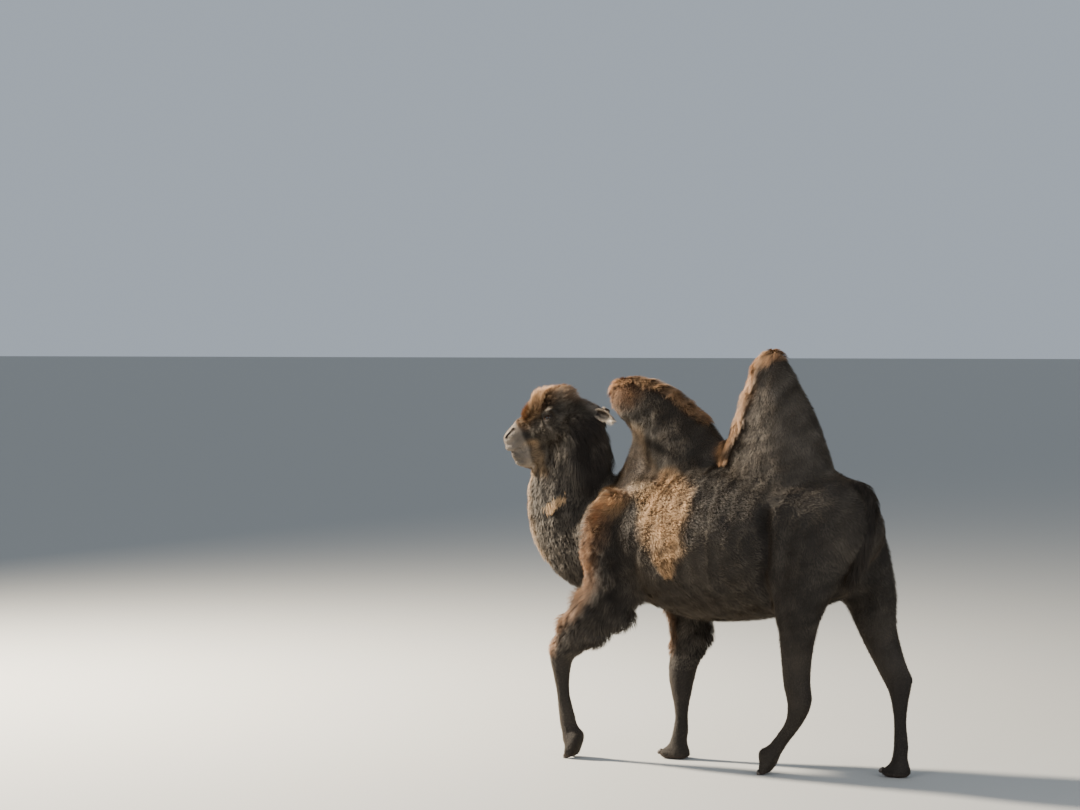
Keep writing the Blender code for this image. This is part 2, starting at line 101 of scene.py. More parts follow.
def from_head(points):
    return np.asarray(points) @ HEAD_TURN.T + np.array(HEAD_AT)


def face(*point):
    """A point of the head's own frame, in the working frame."""
    return np.array(HEAD @ Vector(point))


# %% Small tools
def unit(vectors):
    return vectors / np.maximum(np.linalg.norm(vectors, axis=-1, keepdims=True), 1e-9)


def fade(values, start, end):
    """0 before start, 1 after end, and a smooth step between. start may be the larger."""
    t = np.clip((np.asarray(values, float) - start) / (end - start), 0.0, 1.0)
    return t * t * (3 - 2 * t)


def mix(a, b, share):
    return a + (b - a) * share


def in_scene(name, data):
    made = bpy.data.objects.new(name, data)
    bpy.context.scene.collection.objects.link(made)
    return made


def as_data(mesh, name):
    """A bmesh as mesh data; the bmesh goes."""
    data = bpy.data.meshes.new(name)
    mesh.to_mesh(data)
    mesh.free()
    return data


# %% [markdown]
# ## Camera, floor and light
#
# The animal is seen from its left and a little from behind, with a long lens at the height of its humps. A
# long lens far away keeps the near and far legs almost the same size. The floor is a plain pale sheet. A
# small strong lamp beyond the animal draws the edge of every lock, and two large soft ones light its left
# side from above.

# %% Camera
VIEW_TURN = math.radians(30.0)             # between the animal's side and the line of sight
TILT = math.radians(1.27)                  # looking slightly down
CAMERA_AT = Vector((-6.27, 12.95, 2.24))
LENS = 90.5
level = math.cos(TILT)
eye_line = Vector((math.sin(VIEW_TURN) * level, -math.cos(VIEW_TURN) * level, -math.sin(TILT)))


def aimed(made, at, line):
    """Puts a lamp or camera at a place and turns it along a line."""
    made.location = at
    made.rotation_euler = Vector(line).to_track_quat("-Z", "Y").to_euler()
    return made


camera_data = bpy.data.cameras.new("camera")
camera_data.lens = LENS
camera_data.sensor_width = 36.0
camera = aimed(in_scene("camera", camera_data), CAMERA_AT + SHIFT, eye_line)
bpy.context.scene.camera = camera
print("camera at", tuple(round(v, 2) for v in camera.location))

# %% [markdown]
# ## Shader sums as Python
#
# A node tree is easier to read as arithmetic. A `Socket` stands for one output, and Python's own operators
# add Math nodes to it, so `1 - mask` or `mask * 0.4` works in both orders. Every other node comes from one
# method, `Finish.node`, which sets the node's own settings first and then fills its sockets.

# %% Socket
class Socket:
    """One output of a node, usable in Python sums."""

    def __init__(self, finish, output):
        self.finish = finish
        self.output = output

    def maths(self, operation, first, second):
        return self.finish.node("ShaderNodeMath", {"operation": operation}, {0: first, 1: second})

    def __add__(self, other):
        return self.maths("ADD", self, other)

    def __radd__(self, other):
        return self.maths("ADD", other, self)

    def __sub__(self, other):
        return self.maths("SUBTRACT", self, other)

    def __rsub__(self, other):
        return self.maths("SUBTRACT", other, self)

    def __mul__(self, other):
        return self.maths("MULTIPLY", self, other)

    def __rmul__(self, other):
        return self.maths("MULTIPLY", other, self)

    def clamped(self):
        return self.finish.node("ShaderNodeClamp", {}, {"Value": self})


# %% Finish
class Finish:
    """A material and the nodes that it is made of."""

    def __init__(self, name, **constants):
        self.material = bpy.data.materials.new(name)
        self.material.use_nodes = True
        self.tree = self.material.node_tree
        self.shader = self.tree.nodes["Principled BSDF"]
        for socket, value in constants.items():
            self.shader.inputs[socket.replace("_", " ")].default_value = value

    def fill(self, socket, value):
        if isinstance(value, Socket):
            self.tree.links.new(value.output, socket)
        else:
            socket.default_value = value

    def node(self, kind, settings, values, output=0):
        made = self.tree.nodes.new(kind)
        for key, value in settings.items():
            if key == "stops":
                ramp = made.color_ramp
                while len(ramp.elements) < len(value):
                    ramp.elements.new(0.5)
                for stop, (place, colour) in zip(ramp.elements, value):
                    stop.position = place
                    stop.color = colour
            else:
                setattr(made, key, value)
        for key, value in values.items():
            self.fill(made.inputs[key], value)
        return Socket(self, made.outputs[output])

    def painted(self, name):
        """A number that the mesh carries at each of its points."""
        return self.node("ShaderNodeAttribute", {"attribute_name": name}, {}, "Fac")

    def places(self):
        """The point on the piece, in metres."""
        return self.node("ShaderNodeTexCoord", {}, {}, "Object")

    def grain(self, scale, detail=3.0):
        values = {"Vector": self.places(), "Scale": scale, "Detail": detail}
        return self.node("ShaderNodeTexNoise", {}, values)

    def blend(self, share, first, second):
        """A colour between two others."""
        colours = {"Factor": share, 6: first, 7: second}
        return self.node("ShaderNodeMix", {"data_type": "RGBA"}, colours, 2)

    def wear(self, socket, value):
        self.fill(self.shader.inputs[socket], value)

    def bump(self, height, distance, strength=1.0):
        values = {"Height": height, "Distance": distance, "Strength": strength}
        self.wear("Normal", self.node("ShaderNodeBump", {}, values))


def rgb(red, green, blue):
    """A colour as seen on a screen, 0 to 255, as the linear light that shaders take."""
    return tuple(((v / 255 + 0.055) / 1.055) ** 2.4 if v > 10 else v / 255 / 12.92
                 for v in (red, green, blue)) + (1.0,)


# %% Floor
plain_floor = Finish("pale_floor", Roughness=0.9)
plain_floor.wear("Base Color", rgb(168, 167, 163))
floor_mesh = bmesh.new()
bmesh.ops.create_grid(floor_mesh, x_segments=1, y_segments=1, size=400.0)
floor = in_scene("floor", as_data(floor_mesh, "floor"))
floor.data.materials.append(plain_floor.material)

# %% Lamps and sky
BODY_MIDDLE = (0.0, 0.0, 1.2)
LAMPS = {"back_light": ((8.7, 0.5, 6.1), (0.2, 0.0, 1.4), 1.0, 6000.0, (1.0, 0.90, 0.74)),
         "front_light": ((1.0, 9.0, 5.0), BODY_MIDDLE, 5.0, 330.0, (0.97, 0.985, 1.0)),
         "side_light": ((-7.5, 4.0, 4.0), BODY_MIDDLE, 4.5, 240.0, (0.92, 0.96, 1.0))}
for name, (at, aim, size, watts, colour) in LAMPS.items():
    light = bpy.data.lights.new(name, "AREA")
    light.shape = "DISK"
    light.size = size
    light.energy = watts
    light.color = colour
    aimed(in_scene(name, light), at, Vector(aim) - Vector(at))
sky = bpy.data.worlds.new("studio")
sky.use_nodes = True
background = sky.node_tree.nodes["Background"]
background.inputs["Color"].default_value = (0.74, 0.84, 0.96, 1.0)
background.inputs["Strength"].default_value = 0.55
bpy.context.scene.world = sky
print("lamps:", list(LAMPS))

# %% [markdown]
# ## The shape under the coat
#
# A camel's body can be drawn as a few tubes: barrel, humps, neck, legs and head. Each tube is a loft, a row
# of rings along a path, with a half depth and a half width at each station. The same stations made the
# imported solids, so the skin fits them. Fusing the tubes with a voxel remesh and then growing and shrinking
# the result fills the creases between them the way flesh does.
#
# A loft also knows which way it runs. Its ring points are kept as guides: later every hair asks the nearest
# guides which way the coat lies there and how long it is.

# %% Smooth paths
SPAN_STEPS = 5


def smooth_path(rows, steps=SPAN_STEPS):
    """Catmull-Rom rows between the given ones, so that a loft passes through every station."""
    rows = np.asarray(rows, float)
    ends = np.vstack([2 * rows[0] - rows[1], rows, 2 * rows[-1] - rows[-2]])
    out = []
    for i in range(len(rows) - 1):
        a, b, c, d = ends[i:i + 4]
        for t in np.arange(steps) / steps:
            out.append(0.5 * (2 * b + (c - a) * t + (2 * a - 5 * b + 4 * c - d) * t * t
                              + (3 * b - a - 3 * c + d) * t ** 3))
    return np.array(out + [rows[-1]])


def gap_to(points, path, steps=6, radius=1.0):
    """Distance to a line through the path's points, in radii. A fourth number in a row is its own radius."""
    spots = smooth_path(path, steps) if len(path) > 1 else np.array(path, float)
    gap = np.full(len(points), 1e9)
    for spot in spots:
        own = spot[3] if len(spot) > 3 else radius
        gap = np.minimum(gap, np.linalg.norm(points - spot[:3], axis=1) / own)
    return gap


# %% Lofts
RING = 28
guides = {"place": [], "flow": [], "kind": []}


def tube(rows):
    """A mesh through closed rings of points, open at both ends."""
    mesh = bmesh.new()
    made = [[mesh.verts.new(p) for p in row] for row in rows]
    for near, far in zip(made, made[1:]):
        for i in range(len(near)):
            j = (i + 1) % len(near)
            mesh.faces.new((near[i], near[j], far[j], far[i]))
    mesh.verts.ensure_lookup_table()
    return mesh


def loft(stations, kind, lie, belly=0.0, ring=RING, steps=SPAN_STEPS, place=None):
    """A closed tube. A station is x, y, z, half depth, half width.

    lie says which way hair runs: how much along the path, and a direction to add. belly makes a ring wider
    on the under side than on the back, or the other way round where it is negative."""
    rows = smooth_path(stations, steps)
    rows[:, 3:] = np.maximum(rows[:, 3:], 0.004)
    along = unit(np.gradient(rows[:, :3], axis=0))
    deep = unit(np.cross(along, (0.0, 1.0, 0.0)))
    wide = np.cross(deep, along)
    turn = np.linspace(0, 2 * math.pi, ring, endpoint=False)
    up, out = np.sin(turn), np.cos(turn)
    rings = []
    for t, d, w, row in zip(along, deep, wide, rows):
        half_wide = row[4] * (1 - belly * up)
        points = row[:3] + np.outer(up * row[3], d) + np.outer(out * half_wide, w)
        flow = lie[0] * t + np.array(lie[1:])
        if place is not None:
            points, flow = from_head(points), HEAD_TURN @ flow
        rings.append(points)
        guides["flow"].append(np.tile(flow, (ring, 1)))
        guides["kind"] += [kind] * ring
    guides["place"] += rings
    mesh = tube(rings)
    mesh.faces.new(mesh.verts[:ring][::-1])
    mesh.faces.new(mesh.verts[-ring:])
    bmesh.ops.recalc_face_normals(mesh, faces=mesh.faces)
    return mesh


def ball(at, radii, turn=(0.0, 0.0, 0.0), place=Matrix()):
    """An ellipsoid of flesh, which has no guides of its own."""
    mesh = bmesh.new()
    bmesh.ops.create_uvsphere(mesh, u_segments=24, v_segments=14, radius=1.0)
    where = Matrix.Translation(at) @ Euler(turn).to_matrix().to_4x4() @ Matrix.Diagonal((*radii, 1.0))
    bmesh.ops.transform(mesh, matrix=place @ where, verts=mesh.verts)
    return mesh


# %% Barrel, humps, neck
BARREL = [(-0.800, 0, 1.20, 0.060, 0.070), (-0.755, 0, 1.215, 0.190, 0.170),
          (-0.64, 0, 1.230, 0.305, 0.245), (-0.45, 0, 1.232, 0.372, 0.295),
          (-0.25, 0, 1.220, 0.410, 0.340), (0.00, 0, 1.205, 0.435, 0.370),
          (0.22, 0, 1.200, 0.430, 0.365), (0.45, 0, 1.205, 0.380, 0.325),
          (0.65, 0, 1.190, 0.325, 0.265), (0.80, 0, 1.150, 0.255, 0.200), (0.90, 0, 1.110, 0.150, 0.120)]
REAR_HUMP = [(-0.245, 0, 1.36, 0.335, 0.235), (-0.235, 0, 1.52, 0.330, 0.205),
             (-0.235, 0, 1.66, 0.300, 0.165), (-0.230, 0, 1.80, 0.248, 0.140),
             (-0.215, 0, 1.94, 0.195, 0.115), (-0.205, 0, 2.07, 0.138, 0.090),
             (-0.205, 0, 2.165, 0.085, 0.062), (-0.208, 0, 2.222, 0.036, 0.030)]
FRONT_HUMP = [(0.24, 0, 1.36, 0.300, 0.215), (0.28, 0, 1.52, 0.275, 0.180),
              (0.325, 0.005, 1.67, 0.245, 0.150), (0.400, 0.010, 1.79, 0.200, 0.128),
              (0.49, 0.015, 1.875, 0.175, 0.115), (0.59, 0.025, 1.935, 0.140, 0.102),
              (0.675, 0.030, 1.962, 0.108, 0.088), (0.732, 0.035, 1.965, 0.068, 0.058)]
NECK = [(0.52, 0, 1.26, 0.290, 0.190), (0.72, 0, 1.17, 0.285, 0.180), (0.885, 0.01, 1.145, 0.250, 0.160),
        (1.000, 0.025, 1.235, 0.225, 0.148), (1.035, 0.035, 1.37, 0.218, 0.140),
        (1.020, 0.045, 1.51, 0.212, 0.137), (0.970, 0.045, 1.64, 0.195, 0.130),
        (0.920, 0.04, 1.75, 0.155, 0.118)]
RIDGE = [(0.650, 0.02, 1.36, 0.120, 0.130), (0.614, 0.02, 1.45, 0.116, 0.125), (0.577, 0.02, 1.54, 0.104, 0.110),
         (0.554, 0.02, 1.62, 0.094, 0.095), (0.552, 0.02, 1.70, 0.083, 0.080), (0.575, 0.02, 1.77, 0.045, 0.050)]
MANE = [(0.80, 0.02, 1.34, 0.060, 0.060), (0.835, 0.03, 1.45, 0.085, 0.085),
        (0.845, 0.035, 1.58, 0.095, 0.095), (0.850, 0.035, 1.71, 0.092, 0.095),
        (0.860, 0.035, 1.82, 0.075, 0.090)]

forms = [loft(BARREL, "trunk", (-1.0, 0, 0, -0.55), belly=0.10),
         ball((0.45, 0, 1.42), (0.27, 0.20, 0.20)), ball((-0.50, 0, 1.38), (0.265, 0.21, 0.205)),
         ball((0.66, 0, 0.965), (0.17, 0.12, 0.12)),
         loft(REAR_HUMP, "hump_rear", (0, -0.30, 0, -1.0)), loft(FRONT_HUMP, "hump_front", (0, -0.25, 0, -1.0)),
         loft(RIDGE, "trunk", (0.4, -0.35, 0, -0.8)),
         loft(NECK, "neck", (-0.5, -0.20, 0, -0.7), belly=-0.12), loft(MANE, "mane", (0, -0.15, 0, -1.0))]

# %% [markdown]
# Each leg is one loft from the shoulder or hip to the fetlock. A camel walks on two broad toes with a pad
# behind them, so a foot is four flattened balls. Both left feet swing forward and touch with their toe tips.

# %% Legs
LEGS = {
    "foreleg_left": [(0.60, 0.155, 1.44, 0.120, 0.080), (0.70, 0.185, 1.24, 0.165, 0.110),
                     (0.625, 0.205, 0.99, 0.180, 0.115), (0.775, 0.190, 0.790, 0.135, 0.105),
                     (0.890, 0.172, 0.675, 0.108, 0.090), (0.975, 0.155, 0.580, 0.082, 0.070),
                     (0.988, 0.145, 0.480, 0.058, 0.050), (0.982, 0.136, 0.350, 0.043, 0.037),
                     (0.962, 0.130, 0.225, 0.050, 0.045), (0.945, 0.129, 0.150, 0.050, 0.048),
                     (0.915, 0.129, 0.095, 0.040, 0.048)],
    "foreleg_right": [(0.58, -0.155, 1.44, 0.120, 0.080), (0.66, -0.185, 1.22, 0.160, 0.110),
                      (0.47, -0.205, 0.98, 0.170, 0.112), (0.385, -0.192, 0.790, 0.140, 0.102),
                      (0.375, -0.178, 0.650, 0.125, 0.090), (0.395, -0.163, 0.540, 0.090, 0.075),
                      (0.405, -0.150, 0.450, 0.080, 0.068), (0.402, -0.140, 0.350, 0.062, 0.050),
                      (0.398, -0.133, 0.240, 0.042, 0.038), (0.400, -0.128, 0.150, 0.048, 0.045),
                      (0.420, -0.126, 0.080, 0.046, 0.048)],
    "hindleg_left": [(-0.50, 0.150, 1.32, 0.235, 0.110), (-0.48, 0.180, 1.09, 0.195, 0.128),
                     (-0.445, 0.200, 0.89, 0.150, 0.110), (-0.435, 0.188, 0.770, 0.112, 0.092),
                     (-0.420, 0.168, 0.630, 0.090, 0.075), (-0.415, 0.152, 0.500, 0.080, 0.060),
                     (-0.425, 0.143, 0.385, 0.072, 0.054), (-0.392, 0.136, 0.285, 0.050, 0.043),
                     (-0.335, 0.130, 0.205, 0.042, 0.038), (-0.290, 0.127, 0.145, 0.044, 0.043),
                     (-0.262, 0.126, 0.095, 0.036, 0.044)],
    "hindleg_right": [(-0.52, -0.150, 1.32, 0.235, 0.110), (-0.612, -0.180, 1.10, 0.192, 0.128),
                      (-0.680, -0.192, 0.92, 0.154, 0.110), (-0.727, -0.178, 0.760, 0.112, 0.090),
                      (-0.795, -0.160, 0.610, 0.088, 0.070), (-0.855, -0.146, 0.490, 0.076, 0.056),
                      (-0.868, -0.138, 0.390, 0.052, 0.045), (-0.872, -0.131, 0.280, 0.040, 0.036),
                      (-0.880, -0.126, 0.155, 0.045, 0.043), (-0.868, -0.124, 0.080, 0.044, 0.046)]}

# %% Feet and forearm wool
# The middle of the sole, half length, half width, toe-out and nose-down pitch in degrees.
FEET = {"foreleg_left": ((0.885, 0.130, 0.0660), 0.092, 0.078, 4.0, 66.0),
        "foreleg_right": ((0.425, -0.126, 0.0), 0.092, 0.078, -4.0, 0.0),
        "hindleg_left": ((-0.275, 0.126, 0.0500), 0.086, 0.070, 5.0, 56.0),
        "hindleg_right": ((-0.862, -0.124, 0.0), 0.086, 0.070, -5.0, 0.0)}
PAD_HEIGHT = 0.033
TOE_HEIGHT = 0.035
TOE_SPREAD = 0.50
TOE_REACH = 0.46


def foot_place(leg):
    at, length, width, out, pitch = FEET[leg]
    turn = Euler((0, math.radians(pitch), math.radians(out)))
    return Matrix.Translation(at) @ turn.to_matrix().to_4x4(), length, width


for leg, joints in LEGS.items():
    forms.append(loft(joints, leg[:4] + "leg", (1.0, -0.12, 0, -0.5)))
    place, length, width = foot_place(leg)
    pad = (0.86 * length, 0.94 * width, PAD_HEIGHT)
    forms.append(ball((-0.10 * length, 0, PAD_HEIGHT * 0.75), pad, place=place))
    forms.append(ball((-0.18 * length, 0, 0.064), (0.62 * length, 0.66 * width, 0.050), place=place))
    for side in SIDES.values():
        toe_at = (TOE_REACH * length, side * TOE_SPREAD * width, 0.8 * TOE_HEIGHT)
        forms.append(ball(toe_at, (0.56 * length, 0.46 * width, TOE_HEIGHT), place=place))
FOREARM_WOOL = [(0.590, 0.885, 1, 0.110), (0.600, 0.795, 1, 0.102), (0.775, 0.715, 1, 0.125),
                (0.838, 0.866, 1, 0.086), (0.908, 0.740, 1, 0.086), (0.400, 0.895, -1, 0.105),
                (0.335, 0.695, -1, 0.114)]
for x, z, side, reach in FOREARM_WOOL:
    forms.append(ball((x, side * 0.19, z), (reach, 0.078, 0.95 * reach)))
for x, z, side in ((-0.475, 0.410, 1), (-0.915, 0.505, -1)):        # the points of the hocks
    forms.append(ball((x, side * 0.142, z), (0.030, 0.030, 0.045)))
print("feet:", list(FEET))

# %% Head
SKULL = [(-0.045, 0, -0.005, 0.060, 0.060), (-0.02, 0, 0.00, 0.095, 0.090), (0.05, 0, 0.005, 0.116, 0.108),
         (0.13, 0, 0.005, 0.118, 0.108), (0.22, 0, 0.002, 0.104, 0.098), (0.30, 0, -0.008, 0.086, 0.075),
         (0.38, 0, -0.018, 0.074, 0.060), (0.45, 0, -0.030, 0.074, 0.061), (0.50, 0, -0.045, 0.058, 0.054),
         (0.528, 0, -0.055, 0.030, 0.034)]
JAW = [(0.03, 0, -0.105, 0.052, 0.072), (0.14, 0, -0.125, 0.055, 0.070), (0.26, 0, -0.128, 0.042, 0.050),
       (0.37, 0, -0.138, 0.034, 0.041), (0.44, 0, -0.146, 0.036, 0.043), (0.485, 0, -0.146, 0.022, 0.029)]
CROWN = [(0.460, 0, 0.032, 0.022, 0.038), (0.395, 0, 0.062, 0.050, 0.056), (0.335, 0, 0.100, 0.074, 0.072),
         (0.265, 0, 0.135, 0.087, 0.086), (0.190, 0, 0.148, 0.083, 0.087), (0.150, 0, 0.134, 0.076, 0.080),
         (0.112, 0, 0.104, 0.066, 0.068), (0.050, 0, 0.084, 0.058, 0.068), (-0.010, 0, 0.044, 0.047, 0.062)]
THROAT = [(0.22, 0, -0.140, 0.035, 0.045), (0.15, 0, -0.165, 0.060, 0.062), (0.09, 0, -0.205, 0.085, 0.078),
          (0.06, 0, -0.260, 0.095, 0.085)]
forms += [loft(SKULL, "head", (0, -1.0, 0, -0.35), steps=4, place=HEAD),
          loft(JAW, "jaw", (0, -1.0, 0, -0.50), steps=4, place=HEAD),
          loft(CROWN, "crown", (0, -0.9, 0, 0.25), steps=3, place=HEAD),
          loft(THROAT, "throat", (0, -0.30, 0, -1.0), steps=3, place=HEAD)]
for side in SIDES.values():
    forms.append(ball((0.225, side * 0.082, 0.078), (0.052, 0.030, 0.024), (0, 0.15, -0.12 * side), place=HEAD))
    forms.append(ball((0.115, side * 0.070, -0.055), (0.095, 0.050, 0.080), place=HEAD))
    forms.append(ball((0.475, side * 0.030, -0.078), (0.045, 0.028, 0.036), place=HEAD))
print(len(forms), "forms and", len(guides["kind"]), "guide points")

# %% [markdown]
# ## One skin
#
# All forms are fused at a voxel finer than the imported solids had. Then the skin is moved inward by the depth
# of the coat, which is a few millimetres on the shins and muzzle and several centimetres on neck, humps and
# forearms. Face and feet are cut finer first, because small folds need small faces.

# %% Fuse the forms
def modified(obj, kind, **settings):
    made = obj.modifiers.new(kind.title(), kind)
    for key, value in settings.items():
        setattr(made, key, value)


def add_form(mesh, part):
    """Copies one bmesh into another; the copied one goes."""
    data = as_data(part, "form")
    mesh.from_mesh(data)
    bpy.data.meshes.remove(data)


def fused(parts, voxel, fillet, passes):
    """One mesh round all parts, with a fillet in each crease between them."""
    joined = bmesh.new()
    for part in parts:
        add_form(joined, part)
    obj = in_scene("forms", as_data(joined, "forms"))
    for push in (fillet, -fillet):
        modified(obj, "REMESH", mode="VOXEL", voxel_size=voxel)
        modified(obj, "DISPLACE", strength=push, mid_level=0.0)
    modified(obj, "REMESH", mode="VOXEL", voxel_size=voxel)
    modified(obj, "SMOOTH", factor=0.5, iterations=passes)
    graph = bpy.context.evaluated_depsgraph_get()
    data = bpy.data.meshes.new_from_object(obj.evaluated_get(graph))
    bpy.data.objects.remove(obj)
    return data


def refined(data, chosen):
    """Cuts every edge whose two ends are chosen."""
    mesh = bmesh.new()
    mesh.from_mesh(data)
    inside = chosen(np.array([v.co for v in mesh.verts]))
    edges = [e for e in mesh.edges if inside[e.verts[0].index] and inside[e.verts[1].index]]
    bmesh.ops.subdivide_edges(mesh, edges=edges, cuts=1, use_grid_fill=True)
    bmesh.ops.triangulate(mesh, faces=[f for f in mesh.faces if len(f.verts) > 4])
    mesh.to_mesh(data)
    mesh.free()


def on_feet(points):
    return points[:, 2] < 0.24


def on_head(forward, lowest, highest=1.0):
    """Chooses the points of the head that are ahead of a place and between two heights."""
    def chosen(points):
        here = to_head(points)
        return ((here[:, 0] > forward) & (here[:, 2] > lowest) & (here[:, 2] < highest)
                & (points[:, 2] > 1.55))
    return chosen


skin_data = fused(forms, voxel=0.0151, fillet=0.022, passes=3)
print("fused:", len(skin_data.vertices), "points")
for chosen in (on_feet, on_head(0.13, -0.24), on_head(0.15, -0.21, 0.10), on_head(0.425, -0.17, 0.04)):
    refined(skin_data, chosen)
print("refined:", len(skin_data.vertices), "points")


# %% Work on the points as arrays
SOLE_HEIGHT = 0.0005                # the lowest that the skin may reach


def read(rows, name, kind=np.float32, width=1):
    """One property of every row as an array."""
    out = np.empty(width * len(rows), dtype=kind)
    rows.foreach_get(name, out)
    return out.reshape(-1, width) if width > 1 else out


class Cloth:
    """The skin's points, edges and normals as arrays, with the moves that a sculptor would make."""

    def __init__(self, data):
        self.data = data
        self.places = read(data.vertices, "co", width=3).astype(float)
        self.edges = read(data.edges, "vertices", np.int32, 2)
        self.degree = np.bincount(self.edges.ravel(), minlength=len(self.places))

    def spread(self, values, passes, share=1.0):
        """Each point takes on the mean of its neighbours, wholly or by a share of it."""
        values = np.asarray(values, float)
        flat = values.reshape(len(values), -1)
        share = np.broadcast_to(np.asarray(share, float), (len(flat),))[:, None]
        a, b = self.edges.T
        for _ in range(passes):
            total = np.stack([np.bincount(a, column[b], len(flat)) + np.bincount(b, column[a], len(flat))
                              for column in flat.T], axis=1)
            flat = flat + share * (total / np.maximum(self.degree, 1)[:, None] - flat)
        return flat.reshape(values.shape)

    def normals(self):
        self.data.vertices.foreach_set("co", self.places.astype(np.float32).ravel())
        self.data.update()
        return read(self.data.vertex_normals, "vector", width=3).astype(float)

    def near(self, path, width):
        """1 on a line laid on the skin through the path's points, and 0 from the given distance to it."""
        places = self.places
        rows = np.array([places[((places - p) ** 2).sum(axis=1).argmin()] for p in smooth_path(path)])
        inside = np.all((places > rows.min(axis=0) - width) & (places < rows.max(axis=0) + width), axis=1)
        here = places[inside]
        gap = np.full(len(here), 1e9)
        for start, end in zip(rows, rows[1:]):
            run = end - start
            t = np.clip((here - start) @ run / max(run @ run, 1e-12), 0, 1)
            gap = np.minimum(gap, np.linalg.norm(here - start - t[:, None] * run, axis=1))
        out = np.zeros(len(places))
        out[inside] = 1 - fade(gap, 0, width)
        return out

    def bulge(self, at, radii, height):
        """Raises a soft mound, or a hollow where height is negative."""
        reach = np.linalg.norm((self.places - at) / radii, axis=1)
        self.places += self.normals() * (height * (1 - fade(reach, 0, 1)))[:, None]

    def crease(self, path, width, depth):
        self.places -= self.normals() * (depth * self.near(path, width))[:, None]

    def held_inside(self, before):
        """Takes back every push that went through the flesh and out of its other side."""
        sheet = BVHTree.FromPolygons(before.tolist(), [tuple(face.vertices) for face in self.data.polygons])
        pushed = np.flatnonzero(np.linalg.norm(self.places - before, axis=1) > 0.001)
        for i in pushed:
            nearest, facing, number, gap = sheet.find_nearest(Vector(self.places[i]))
            if (Vector(self.places[i]) - nearest) @ facing > 0:
                self.places[i] = before[i]


skin = Cloth(skin_data)

# %% [markdown]
# The guides now say what kind of hair grows at each point. A few rounds of averaging over neighbours make
# the lie and depth of the coat change gently from one form to the next.

# %% Kind of coat at each point
def tree_of(points):
    """A search tree over points."""
    tree = KDTree(len(points))
    for i, point in enumerate(points):
        tree.insert(point, i)
    tree.balance()
    return tree


guide_tree = tree_of(np.concatenate(guides["place"]))
guide_flows = unit(np.concatenate(guides["flow"]))
hits = np.array([[hit[1] for hit in guide_tree.find_n(p, 4)] for p in skin.places])
kinds = np.array(guides["kind"])[hits[:, 0]]
FLOW_PASSES, HEAD_PASSES, BODY_PASSES = 12, 4, 10
flow = skin.spread(guide_flows[hits].mean(axis=1), FLOW_PASSES)
z = skin.places[:, 2]
local = to_head(skin.places)
EDGE_UP = [-0.30, -0.171, -0.121, -0.054, 0.009, 0.057, 0.20]      # where the face wool ends, read upward
EDGE_FORWARD = [0.352, 0.368, 0.374, 0.386, 0.404, 0.440, 0.480]


def behind_edge(here):
    """How far behind the front edge of the face wool a point of the head lies."""
    return np.interp(here[:, 2], EDGE_UP, EDGE_FORWARD) - here[:, 0]


face_wool = fade(behind_edge(local), -0.002, 0.020)
belly, arm = fade(z, 0.85, 1.05), fade(z, 1.0, 1.15)
wool, thigh = fade(z, 0.52, 0.68), fade(z, 0.50, 0.95)
# Depth and length of the hair of each kind.
COATS = {"trunk": (mix(0.016, 0.012, belly), mix(0.032, 0.027, belly)),
         "hump_rear": (0.013, 0.028), "hump_front": (0.013, 0.026), "neck": (0.018, 0.036),
         "mane": (0.034, 0.060), "throat": (0.030, 0.065),
         "foreleg": (mix(0.0035, 0.034, wool * (1 - 0.5 * arm)), mix(0.013, 0.062, wool * (1 - 0.4 * arm))),
         "hindleg": (mix(0.0035, 0.012, thigh), mix(0.012, 0.026, thigh)),
         "head": (mix(0.0025, 0.016, face_wool), mix(0.006, 0.032, face_wool)),
         "jaw": (mix(0.0025, 0.018, face_wool), mix(0.006, 0.040, face_wool)),
         "crown": (mix(0.0025, 0.032, face_wool), mix(0.006, 0.044, face_wool))}
eye_gap = np.linalg.norm(local * (1, 0, 1) + np.abs(local) * (0, 1, 0) - np.array(EYE_SEAT), axis=1)
in_head = np.isin(kinds, ["head", "jaw", "crown"])
hair = []
for column, (near_eye, reach) in enumerate(((0.004, (0.030, 0.070)), (0.013, (0.026, 0.060)))):
    values = np.zeros(len(kinds))
    for kind, pair in COATS.items():
        rows = kinds == kind
        values[rows] = np.broadcast_to(pair[column], values.shape)[rows]
    values = mix(values, near_eye, 1 - fade(eye_gap, *reach))
    hair.append(np.where(in_head, skin.spread(values, HEAD_PASSES), skin.spread(values, BODY_PASSES)))
depth, length = hair
skin.places -= skin.normals() * depth[:, None]
skin.places = skin.spread(skin.places, 2, 0.5)
skin.places[:, 2] = np.maximum(skin.places[:, 2], SOLE_HEIGHT)
print("coat depth from", round(depth.min(), 4), "to", round(depth.max(), 4), "m")

# %% [markdown]
# ## Folds, face and feet
#
# Under the wool the big folds still show: the flank fold before the thigh, the crease behind the elbow, and
# the groove where neck meets shoulder. On the face everything shows. A camel has a long split upper lip,
# slit nostrils that can close, a heavy brow, and thick eyelids. They are made as a sculptor would, by pressing
# and raising the fine skin along short lines.

# %% Body folds
FLANK_FOLD = [(-0.29, 0.28, 1.38), (-0.30, 0.30, 1.26), (-0.30, 0.30, 1.14), (-0.28, 0.29, 1.02),
              (-0.29, 0.22, 0.91)]


def modelled(forms, place=tuple):
    """Presses a crease where the first entry is a path, and raises a mound where it is a point."""
    for where, size, amount in forms:
        if isinstance(where, list):
            skin.crease([place(point) for point in where], size, amount)
        else:
            skin.bulge(place(where), size, amount)


